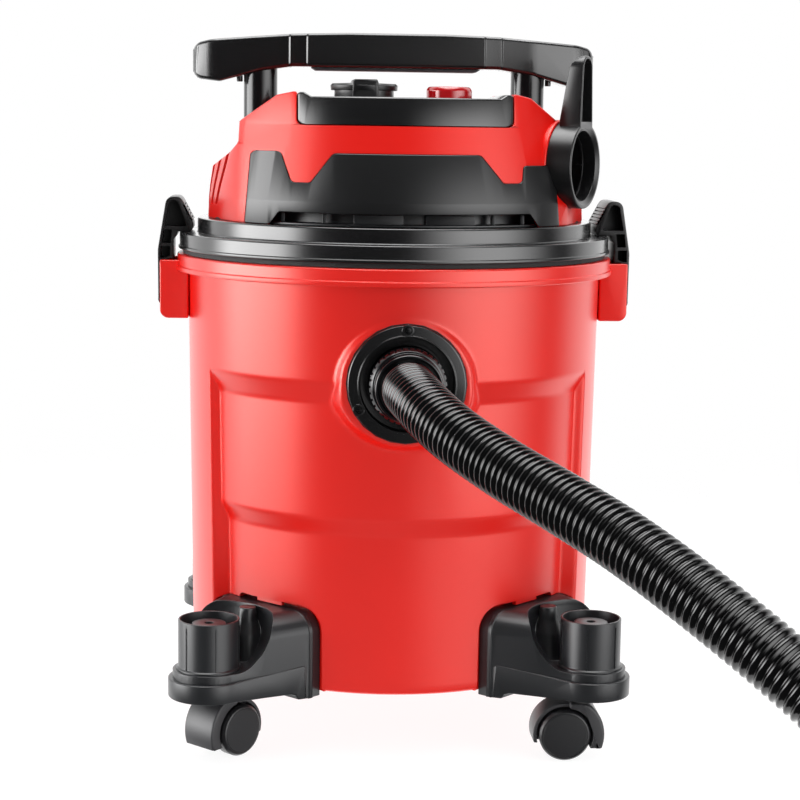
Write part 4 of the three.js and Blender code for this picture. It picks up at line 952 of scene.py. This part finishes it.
# %% Control panel
PANEL_TOP = HEAD_TOP - 3.6
EAR = PANEL_TOP + 3.2
KNOB = (-29.0, -62.0)
BUTTON = (37.4, -62.0)
face = mirrored([
    (PANEL_HALF, PANEL_BOTTOM, 4.5), (PANEL_HALF, EAR, 2.5), (PANEL_HALF - 5, EAR, 2),
    (PANEL_HALF - 10.5, PANEL_TOP, 3),
])
panel = keep(head_cone("panel_cap", 0), block("face", "xz", face, -FAR, -8, steps=7))
ease(panel, 1.5)
inner_face = mirrored([(PANEL_HALF - 2.5, PANEL_BOTTOM - 5), (PANEL_HALF - 2.5, PANEL_TOP - 2.5)])
hollow = keep(head_cone("hollow", -2.5), block("inner_face", "xz", inner_face, -FAR, -10.5))
button_hole = rod_at(18.5, PANEL_TOP - 9, ABOVE, *BUTTON, 96)
panel = cut(panel, hollow, rod_at(3.5, PANEL_TOP - 9, ABOVE, *KNOB), button_hole)
smooth(panel)
settle(panel, "body", "black_plastic", "black_abs", "control_panel")

# %% Rotary knob
low = PANEL_TOP + 0.3
cap = low + 5.3
knob = turned("knob_cap", [
    (0, low), (23.2, low, 0.4), (23.2, cap), (25.9, cap, 0.5), (26.3, cap + 3.6, 0.6),
    (24.8, cap + 5.2, 0.6), (0, cap + 6.2),
], 128)
top = cap + 8.3
bar = block("bar", "xz", mirrored([(10, low), (10, cap + 5.6), (8.8, top, 1.2)]), -26.9, 26.9)
bar = keep(bar, rod(26.7, low, top + 1, 128))
ease(bar, 0.5)
grip = block("grip_hollow", "xz", mirrored([(8.2, low + 0.5), (8.2, top - 1.4)]), -40, -25.2)
bar = cut(bar, twin(grip, "rear_grip", HALF_TURN), grip)
knob = join(knob, bar, rod(3, 485.3, low + 1, 32))
knob = cut(knob, block("pointer_groove", "xy", rectangle(-1.6, -24, 1.6, -9), top - 0.5, top + 3))
put(knob, at=(*KNOB, 0))
smooth(knob)
settle(knob, "power_knob", "black_plastic", "black_fine_grain", "power_knob")
pointer_outline = rectangle(-1.5, -23.9, 1.5, -9.1, 0.5)
pointer = block("knob_pointer", "xy", pointer_outline, top - 0.6, top - 0.1)
put(pointer, at=(*KNOB, 0))
settle(pointer, "power_knob", "white_plastic", "pointer_tan")

# %% Start button
button = turned("button_cap", [
    (0, 486.7), (5, 486.7, 0.5), (5, 497.2), (20, 497.2, 0.5), (20, 500.2, 0.5), (18, 500.2),
    (18, PANEL_TOP + 6.6, 3), (16.4, PANEL_TOP + 9.3, 3), (0, PANEL_TOP + 10.2),
], 128, steps=8)
put(button, at=(*BUTTON, 0))
smooth(button, 40)
settle(button, "start_button", "button_red", "polished_red", "start_button")

# %% [markdown]
# The blower port is a black tube that leaves the head at its right front corner. It ends in a thick
# ring, with a thin lip deep in its mouth that stops a hose. Its hollow hook carries the wound-up cord.

# %% Blower port and hook
PORT_FACE = HEAD_R + 8
BORE = 27
port = turned("port_tube", [
    (BORE, HEAD_R - 39), (31, HEAD_R - 39), (31, HEAD_R - 32), (33.2, HEAD_R - 30),
    (33.2, PORT_FACE, 1.8), (30.6, PORT_FACE, 0.7), (BORE, PORT_FACE - 2.2, 0.7),
    (BORE, PORT_FACE - 12), (BORE - 1.5, PORT_FACE - 12, 0.3), (BORE - 1.5, PORT_FACE - 14, 0.3),
    (BORE, PORT_FACE - 14),
], 128)
catch = block("catch", "xy", rectangle(-0.7, -BORE - 1, 0.7, -BORE + 2.2), 146, 152)
port = join(port, *(twin(catch, "catch_copy", (0, 0, 90 * i)) for i in range(4)))
discard(catch)
fin = [(-13.5, BORE + 1), (13.5, BORE + 1), (13.5, 35), (10, 84.5, 10), (-10, 84.5, 10), (-13.5, 35)]
hook = block("hook", "xy", fin, PORT_FACE - 19, PORT_FACE, steps=12)
taper = [
    (BORE - 3, PORT_FACE - 18), (36, PORT_FACE - 17.5, 20), (60, PORT_FACE - 14, 60),
    (78, PORT_FACE - 11, 9), (84.5, PORT_FACE - 4, 4), (84.5, PORT_FACE), (BORE - 3, PORT_FACE),
]
hook = keep(hook, block("taper", "yz", taper, -20, 20, steps=10))
ease(hook, 1.0)
pocket = [(a, max(b, 34), *rest) for a, b, *rest in grown(fin, -2.2)]
hook = cut(hook, block("hook_pocket", "xy", pocket, PORT_FACE - 8, PORT_FACE + 1, steps=12))
hook = cut(hook, rod(BORE + 1.5, 120, 200))
ease(hook, 0.35)
port = at_port(join(port, hook))
smooth(port)
settle(port, "body", "black_plastic", "black_fine_grain", "side_port")

# %% [markdown]
# The carrying handle is a moulded bar on two painted steel tubes. Seen from the front the bar is a long
# flat arch with heavy drooping ends, and seen from above its ends sweep back in facets. So the bar is
# the common part of a front outline and a plan outline, with well rounded edges.

# %% Handle bar
BAR_TOP = LID_TOP + 148.7
BAR_UNDER = BAR_TOP - 27.7
END = 165
face = mirrored([
    (40, BAR_UNDER, 60), (84, BAR_UNDER, 40), (111, BAR_UNDER - 4, 60), (143, BAR_UNDER - 12.6, 8),
    (END, BAR_UNDER - 10, 9), (END, BAR_TOP - 10, 10), (END - 15, BAR_TOP - 6.5, 60),
    (84, BAR_TOP - 1.6, 80), (40, BAR_TOP - 0.3, 80),
])
deep = 2 * (TUBE_R + 3.25)
plan = mirrored([
    (71.5, 0, 0.9), (72.9, 1.1, 0.9), (85.6, 2.3, 0.9), (87, 3.5, 0.9), (112, 5, 60),
    (END - 15, 13, 30), (END, 22, 12), (END, deep + 8, 11), (END - 15, deep + 13, 30),
    (97, deep + 3, 12), (84, deep, 6),
])
bar = block("handle_moulding", "xz", face, -FAR, FAR, steps=8)
bar = keep(bar, block("plan", "xy", plan, 0, ABOVE, steps=8))
ease(bar, 3.0, segments=5)
for side in (-1, 1):
    bar = cut(bar, rod_at(TUBE_R + 0.3, 300, BAR_UNDER + 7.3, side * TUBE_X, TUBE_Y))
    nub = rod(2.5, 515.5, 526, 24, rounds=(0.6, 0))
    bar = join(bar, put(nub, at=(side * (TUBE_X + TUBE_R + 3.25), TUBE_Y, 0)))
smooth(bar)
settle(bar, "body", "black_plastic", "black_abs", "handle_bar")

# %% Grip strip and tubes
low = BAR_UNDER - 2.7
strip = block("grip_strip", "xz", mirrored([(65, low), (69, BAR_UNDER - 0.3)]), 5, 29)
ease(strip, 0.6)
settle(strip, "body", "rubber", "soft_grip", "handle_grip")
for side, name in ((-1, "left"), (1, "right")):
    tube = rod(TUBE_R, 432.8, BAR_UNDER + 7, rounds=(0.8, 0.8), name=f"tube_{name}")
    put(tube, at=(side * TUBE_X, TUBE_Y, 0))
    smooth(tube)
    settle(tube, "body", "gloss_black", "painted_steel_tube", f"handle_tube_{name}")

# %% [markdown]
# Each latch is one moulding that turns on a pin in the tank's box. Its hook grips the lid's shelf, and
# its ribbed thumb grip stands above. Both sides are hollowed to a thin web, so from the front one looks
# into a dark triangle with fine light edges. The latch is made once for the right side.

# %% Latches
LATCH_HALF = 21
LID_SHELF = 395.0


def latch_outline():
    x, z = RIM_R, RIM_TOP
    under = LID_SHELF + 0.3
    teeth = []
    for i in range(6):
        for share, inset in ((0, 1.1), (0.62, 1.1), (0.7, 0), (0.96, 0)):
            k = (i + share) / 6
            teeth.append((x - 5.6 - 8.2 * k - inset, z + 40.6 - 15.6 * k + 0.45 * inset, 0.25))
    return [
        (x + 13.5, z - 37), (x + 13.8, z + 3, 20), (x + 6.8, z + 45.2, 6.5), (x - 3.9, z + 45.2, 6),
        *teeth,
        (x - 14.4, z + 23.5, 0.5), (x - 14.4, z + 20, 0.5), (x - 12.4, under, 0.3),
        (x - 2.2, under, 0.3), (x - 0.9, under - 3.9), (x + 1.3, under - 6.4), (x + 1.3, z - 4.5),
        (x + 6.5, z - 4.5), (x + 6.5, z - 37),
    ]


def latch_hollows(low, high):
    """The hollows of one side of the latch, from its web outward."""
    outlines = {
        "thumb": [(-9.8, 21.5, 1.5), (8.6, 21.5, 1), (4.5, 42.4, 4), (-2.2, 42.4, 3.5)],
        "window": [(3.6, 8, 0.6), (10.6, 8, 0.6), (9.4, 18.9, 0.6), (2.3, 18.9, 0.6)],
        "foot": [(8.4, -4), (11.8, -4), (11.6, 5.6), (4, 5.6), (4, -2)],
    }
    hollows = []
    for name, corners in outlines.items():
        outline = [(RIM_R + a, RIM_TOP + b, *radius) for a, b, *radius in corners]
        hollows.append(block(f"{name}_hollow", "xz", outline, low, high))
    return hollows


latch = block("latch_moulding", "xz", latch_outline(), -LATCH_HALF, LATCH_HALF)
ease(latch, 0.45)
latch = cut(latch, *latch_hollows(-LATCH_HALF - 1, -1.2), *latch_hollows(1.2, LATCH_HALF + 1))
for radius, half, work in ((4.5, LATCH_HALF, join), (2.2, 40, cut)):
    knuckle = rod(radius, -half, half, 48)
    latch = work(latch, put(knuckle, (90, 0, 0), (RIM_R + 9, 0, RIM_TOP - 37)))
smooth(latch)
left = twin(latch, "latch_moulding_left", HALF_TURN)
latch.name = "latch_moulding_right"
settle(latch, "latch_right", "black_plastic", "worn_black_abs", "latch_right")
settle(left, "latch_left", "black_plastic", "worn_black_abs", "latch_left")

# %% [markdown]
# Each foot is a charcoal moulding with a broad shoulder against the tank, and a root that fills the
# tank's socket. A scooped hollow runs down to a ledge, and a thin-walled cup for nozzles stands on it.
# The foot is made once, with its cup on the upright axis and its nose along +X, and then set at the
# four corners.

# %% Foot: outlines
PLATE_BOTTOM = 50.0
PLATE_TOP = PLATE_BOTTOM + 14.5
LEDGE = PLATE_BOTTOM + 21
FOOT_TOP = PLATE_BOTTOM + 61.5
CUP_TOP = PLATE_BOTTOM + 59.5
CUP_R = 23.3
FOOT_AXIS = 207.3
BACK = 148 - FOOT_AXIS


def foot_plan(nose_radius, *flank):
    """A round nose and two flanks that widen to the tank."""
    nose = []
    for step in range(-12, 13):
        angle = math.radians(7 * step)
        nose.append((nose_radius * math.cos(angle), nose_radius * math.sin(angle)))
    mirror = [(x, -y) for x, y in reversed(flank)]
    return [*nose, *flank, *mirror]


wide = (BACK + 7.3, 50.2)
narrow = (BACK + 33, 40.4)
lower_plan = foot_plan(31, (BACK + 38.7, 38.7), (BACK + 7.3, 50.8), (BACK + 4.8, 51.6))
upper_plan = foot_plan(27.5, narrow, wide, (BACK, 52.8))
SEAM = LEDGE + 0.4
flank = [
    (BACK + 4.8, PLATE_BOTTOM - 5, 0.5), (BACK + 11.3, PLATE_BOTTOM - 5, 1.5),
    (BACK + 13.3, PLATE_BOTTOM - 1.6, 1.5), (BACK + 17.3, PLATE_BOTTOM - 0.2, 3), (40, PLATE_BOTTOM),
    (40, PLATE_TOP), (3, PLATE_TOP + 0.3, 20), (BACK + 7.3, SEAM, 3), (BACK + 4.8, SEAM - 2, 3),
]
plate = keep(block("foot_moulding", "xy", lower_plan, 0, 200), block("flank", "xz", flank, -FAR, FAR))
ease(plate, 1.0)

# %% Foot: shoulder, scoop and cup
shoulder = block("shoulder", "xy", upper_plan, PLATE_TOP - 4, FOOT_TOP)
lean = math.degrees(math.atan2(narrow[1] - wide[1], narrow[0] - wide[0]))
for side in (-1, 1):
    section = [(-side * FAR, 0), (0, 0), (0, FOOT_TOP, 17), (-side * FAR, FOOT_TOP)]
    rounding = block("rounding", "yz", section, -FAR, FAR, steps=10)
    shoulder = keep(shoulder, put(rounding, (0, 0, side * lean), (wide[0], side * wide[1], 0)))
heel_plan = [(BACK, -52.8), (BACK + 7, -50.4), (BACK + 7, 50.4), (BACK, 52.8)]
heel = block("heel", "xy", heel_plan, PLATE_BOTTOM - 5, PLATE_TOP)
scoop = turned("scoop", [
    (0, LEDGE), (31, LEDGE, 6), (35.6, LEDGE + 4, 6), (43, LEDGE + 14, 12),
    (47.4, LEDGE + 24.5, 12), (48.6, LEDGE + 36, 12), (48.6, 300), (0, 300),
], 144)
shoulder = cut(shoulder, scoop)
lobe = turned("lobe", [
    (0, LEDGE - 2), (16, LEDGE - 2), (14, LEDGE + 8, 10), (12, LEDGE + 20, 10),
    (7.5, LEDGE + 30, 10), (6.5, FOOT_TOP - 0.3, 1), (0, FOOT_TOP - 0.3),
], 64)
put(lobe, at=(-41, 0, 0))
lobe = keep(lobe, block("lobe_part", "xy", rectangle(BACK + 4, -30, -20, 30), 60, 200))
root_outline = mirrored([(52.4, PLATE_BOTTOM - 4.8), (52.4, FOOT_TOP, 17)])
root = block("root", "yz", root_outline, SOCKET_FLAT + 0.4 - FOOT_AXIS, BACK + 3, steps=10)
shoulder = join(shoulder, lobe, heel, root)
ease(shoulder, 0.4)
cup = turned("cup", [
    (0, LEDGE - 1), (24.8, LEDGE - 1), (24.8, LEDGE + 1.2, 1.0), (CUP_R, LEDGE + 2.2, 1.0),
    (CUP_R, CUP_TOP, 0.7), (CUP_R - 1.7, CUP_TOP, 0.5), (CUP_R - 2, PLATE_BOTTOM + 34),
    (13, PLATE_BOTTOM + 34), (13, PLATE_BOTTOM + 56, 0.8), (3.4, PLATE_BOTTOM + 56, 0.4),
    (3.4, PLATE_BOTTOM + 43), (0, PLATE_BOTTOM + 43),
], 96)
rib_plan = [(22.6, -0.55), (23.85, -0.35), (23.85, 0.35), (22.6, 0.55)]
for i in range(6):
    cup = join(cup, put(block("rib", "xy", rib_plan, LEDGE, CUP_TOP - 4), (0, 0, 60 * i)))
foot = join(plate, shoulder, rod(27.5, PLATE_TOP - 1, LEDGE, rounds=(0, 2.4)), cup)
foot = cut(foot, rod(5.4, 0, 92.3, 48))
smooth(foot)
print("foot", len(foot.data.polygons), "faces")

# %% Four feet
# Each corner has its angle round the tank, and the way its castor heads at rest.
CORNERS = {
    "front_left": (-135, -135), "front_right": (-45, 0), "rear_right": (45, 25), "rear_left": (135, 195)
}
spots = {}
for name, (angle, _) in CORNERS.items():
    around = math.radians(angle)
    spots[name] = (FOOT_AXIS * math.cos(around), FOOT_AXIS * math.sin(around), 0)
    one = twin(foot, f"foot_moulding_{name}", (0, 0, angle), spots[name])
    settle(one, "body", "charcoal_plastic", "charcoal_polypropylene", f"foot_{name}")
discard(foot)

# %% [markdown]
# A twin-wheel castor: two wheels on one axle, with a nylon hood between and over them, and a stem that
# turns in the foot. The hood's nose is part of a drum round the axle. It scrapes along walls, so its
# black skin has gone grey.

# %% Castor
AXLE_X, AXLE_Z = -20, 20
HOOD_R = 24.5
NOSE_R = 30.5
WEB = 4.6


def on_axle(piece):
    """Lays a piece that was made upright along the castor's axle."""
    return put(piece, (90, 0, 0), (AXLE_X, 0, AXLE_Z))


hood = on_axle(rod(HOOD_R, -12.5, 12.5, rounds=(0.7, 0.7)))
nose = on_axle(rod(NOSE_R, -14.5, 17, 128, rounds=(1.5, 2.5)))
front = [(AXLE_X + 3, 9), (20, 9), (20, 42), (AXLE_X + 3, 46)]
nose = keep(nose, block("front", "xz", front, -40, 40))
ease(nose, 1.2)
hood = join(hood, nose)
for low, high in ((WEB, 60), (-60, -WEB)):
    hood = cut(hood, on_axle(rod(HOOD_R - 2.7, low, high)))
hood = cut(hood, block("below", "xy", rectangle(-60, -40, 40, 40), -5, 10))
behind = [(-60, -5), (AXLE_X - 9, -5), (AXLE_X - 9, 13.5, 2), (-60, 13.5)]
hood = cut(hood, block("behind", "xz", behind, -40, 40))
ease(hood, 0.4)
stem = turned("stem", [(0, 26), (4.8, 26), (6.6, 44, 4), (9, 49.6), (5, 49.6), (5, 92, 0.8), (0, 92)], 64)
hood = join(hood, stem)
hood = cut(hood, on_axle(rod(2.7, -60, 60, 32)))
smooth(hood)
wheel = turned("wheel", [
    (0, 15), (2.7, 15), (2.7, 5), (18.5, 5, 0.5), (20, 6.5, 0.8), (20, 14.6, 1.5),
    (18.5, 16.6, 0.8), (17.4, 17, 0.3), (17.1, 16.6, 0.1), (16.8, 17, 0.3), (0, 16.8),
], 96)
smooth(on_axle(wheel))
print("castor:", len(hood.data.polygons), "faces in the hood,", len(wheel.data.polygons), "in a wheel")

# %% Four castors
for name, (_, heading) in CORNERS.items():
    turn = (0, 0, heading)
    one = twin(hood, f"hood_moulding_{name}", turn, spots[name])
    settle(one, f"castor_{name}", "black_plastic", "scuffed_nylon", f"castor_hood_{name}")
    one = twin(wheel, f"wheel_disc_a_{name}", turn, spots[name])
    settle(one, f"wheels_{name}", "black_plastic", "wheel_nylon", f"wheel_a_{name}")
    one = put(twin(wheel, f"wheel_disc_b_{name}", HALF_TURN, (2 * AXLE_X, 0, 0)), turn, spots[name])
    settle(one, f"wheels_{name}", "black_plastic", "wheel_nylon", f"wheel_b_{name}")
discard(hood, wheel)

# %% [markdown]
# The mains lead's gland at the rear is a rubber grommet with rings that let it flex. The pieces inside
# keep their CAD shape, and get the finish of what they are made of.

# %% Cable gland
GLAND_FACE = HEAD_R + 0.9
gland = turned("gland_boot", [
    (3.6, GLAND_FACE - 16), (9, GLAND_FACE - 16), (9, GLAND_FACE), (13, GLAND_FACE, 0.6),
    (13, GLAND_FACE + 3, 1.0), (9.6, GLAND_FACE + 3, 0.4), (8.8, GLAND_FACE + 4.4, 0.3),
    (9.0, GLAND_FACE + 5.2, 0.3), (7.6, GLAND_FACE + 6.2, 0.3), (7.4, GLAND_FACE + 8, 0.6),
    (3.6, GLAND_FACE + 8, 0.6),
], 64)
put(gland, (90, 0, 180), (0, 0, GLAND_Z))
smooth(gland)
settle(gland, "body", "rubber", "moulded_rubber", "cable_gland")

# %% Finishes of the pieces inside
inside_finishes = {
    "moulded_rubber": ("lid_seal", "inlet_gasket", "motor_gasket"),
    "galvanised_steel": ("motor", "motor_rotor", "latch_pin_left", "latch_pin_right")
    + tuple(f"castor_axle_{corner}" for corner in CORNERS),
    "black_abs": ("inlet_deflector", "filter_cage", "filter_retainer", "switch_box"),
    "pleated_filter_paper": ("cartridge_filter",),
    "white_polypropylene": ("float_ball",),
}
for finish, names in inside_finishes.items():
    for name in names:
        dress(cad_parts[name], finish)
print("inside pieces finished:", sum(len(names) for names in inside_finishes.values()))

# %% [markdown]
# The studio: a white floor in a plain soft room. Soft lamps shape the object and lay its shadow on the
# floor. Polished plastic mirrors what stands round it, so for glossy rays the room holds pale screens:
# a wide bright one at the left, a fainter one at the right, a white wall behind and a small one
# overhead. They draw the long sheen on the tank's left half and the fine lines on the black edges. What
# the camera sees of the room itself is white.

# %% Studio: the room
WHITE = (1, 1, 1, 1)
world = bpy.data.worlds.new("studio")
bpy.context.scene.world = world
world.use_nodes = True
world.cycles.sampling_method = "NONE"
room = world.node_tree.nodes["Background"]
dial(room, Color=WHITE, Strength=0.5)


def calculate(operation, *values):
    """A Math node on numbers or node outputs."""
    node = add(world, "ShaderNodeMath", operation=operation)
    for socket, value in zip(node.inputs, values):
        if isinstance(value, (int, float)):
            socket.default_value = value
        else:
            world.node_tree.links.new(value, socket)
    return node.outputs[0]


direction = add(world, "ShaderNodeTexCoord").outputs["Generated"]
split = add(world, "ShaderNodeSeparateXYZ", [(direction, "Vector")])
bearing = calculate("ARCTAN2", split.outputs["X"], calculate("MULTIPLY", split.outputs["Y"], -1))


def screen(along, middle, half_width, soft_edge, brightness):
    """A pale screen: full brightness within half_width of the middle, fading over a soft edge."""
    away = calculate("ABSOLUTE", calculate("SUBTRACT", along, middle))
    fade = {"From_Min": half_width + soft_edge, "From_Max": half_width}
    edge = add(world, "ShaderNodeMapRange", [(away, "Value")], interpolation_type="SMOOTHSTEP", **fade)
    return calculate("MULTIPLY", edge.outputs["Result"], brightness)


degree = math.pi / 180
height = split.outputs["Z"]
screens = [
    screen(bearing, -83 * degree, 14 * degree, 19 * degree, screen(height, 0.1, 0.1, 0.3, 12.5)),
    screen(bearing, 47 * degree, 5 * degree, 40 * degree, screen(height, 0.08, 0.14, 0.34, 5.6)),
    screen(calculate("ABSOLUTE", bearing), 180 * degree, 62 * degree, 22 * degree, 1.6),
    screen(height, 1.0, 0.06, 0.1, 9.0),
]
mirrored_room = 0.07
for shine in screens:
    mirrored_room = calculate("ADD", shine, mirrored_room)
mirror = add(world, "ShaderNodeBackground", [(mirrored_room, "Strength")], Color=WHITE)
white = add(world, "ShaderNodeBackground", Color=WHITE, Strength=1.0)
path = add(world, "ShaderNodeLightPath")
glossy = add(world, "ShaderNodeMixShader", [
    (path.outputs["Is Glossy Ray"], "Fac"), (room.outputs[0], 1), (mirror.outputs[0], 2)
])
seen = add(world, "ShaderNodeMixShader", [
    (path.outputs["Is Camera Ray"], "Fac"), (glossy.outputs[0], 1), (white.outputs[0], 2)
])
world.node_tree.links.new(seen.outputs[0], world.node_tree.nodes["World Output"].inputs["Surface"])
print("studio with", len(screens), "screens")

# %% Studio: lamps
def softbox(name, place, width, height, energy):
    light = bpy.data.lights.new(name, "AREA")
    light.shape = "RECTANGLE"
    light.size, light.size_y = width, height
    light.energy = energy
    lamp = bpy.data.objects.new(name, light)
    bpy.context.scene.collection.objects.link(lamp)
    lamp.location = place
    lamp.rotation_euler = (Vector((0, 0, 0.3)) - Vector(place)).to_track_quat("-Z", "Z").to_euler()
    lamp.visible_glossy = False


softbox("softbox_left", (-1.25, -0.75, 0.75), 0.9, 1.1, 5)
softbox("softbox_right", (1.3, -0.75, 0.65), 0.9, 1.1, 5)
softbox("softbox_top", (0, -0.3, 1.9), 1.4, 1.2, 10)

# %% Studio: the floor
deselect()
bpy.ops.mesh.primitive_plane_add(size=8, location=(0, 0, -0.0005))
floor = bpy.context.object
floor.name = "studio_floor"
floor.visible_glossy = False
ground = bpy.data.materials.new("white_floor")
ground.use_nodes = True
shader = ground.node_tree.nodes["Principled BSDF"]
dial(shader, Base_Color=(0.13, 0.13, 0.13, 1), Roughness=0.8)
dial(shader, Emission_Color=WHITE, Emission_Strength=0.91)
place = add(ground, "ShaderNodeTexCoord").outputs["Object"]
reach = add(ground, "ShaderNodeVectorMath", [(place, "Vector")], operation="LENGTH").outputs["Value"]
edge = {"interpolation_type": "SMOOTHSTEP", "From_Min": 0.45, "From_Max": 1.3}
fade = add(ground, "ShaderNodeMapRange", [(reach, "Value")], **edge)
clear = add(ground, "ShaderNodeBsdfTransparent")
pick = add(ground, "ShaderNodeMixShader", [
    (fade.outputs["Result"], "Fac"), (shader.outputs["BSDF"], 1), (clear.outputs["BSDF"], 2)
])
surface_socket = ground.node_tree.nodes["Material Output"].inputs["Surface"]
ground.node_tree.links.new(pick.outputs["Shader"], surface_socket)
floor.data.materials.append(ground)
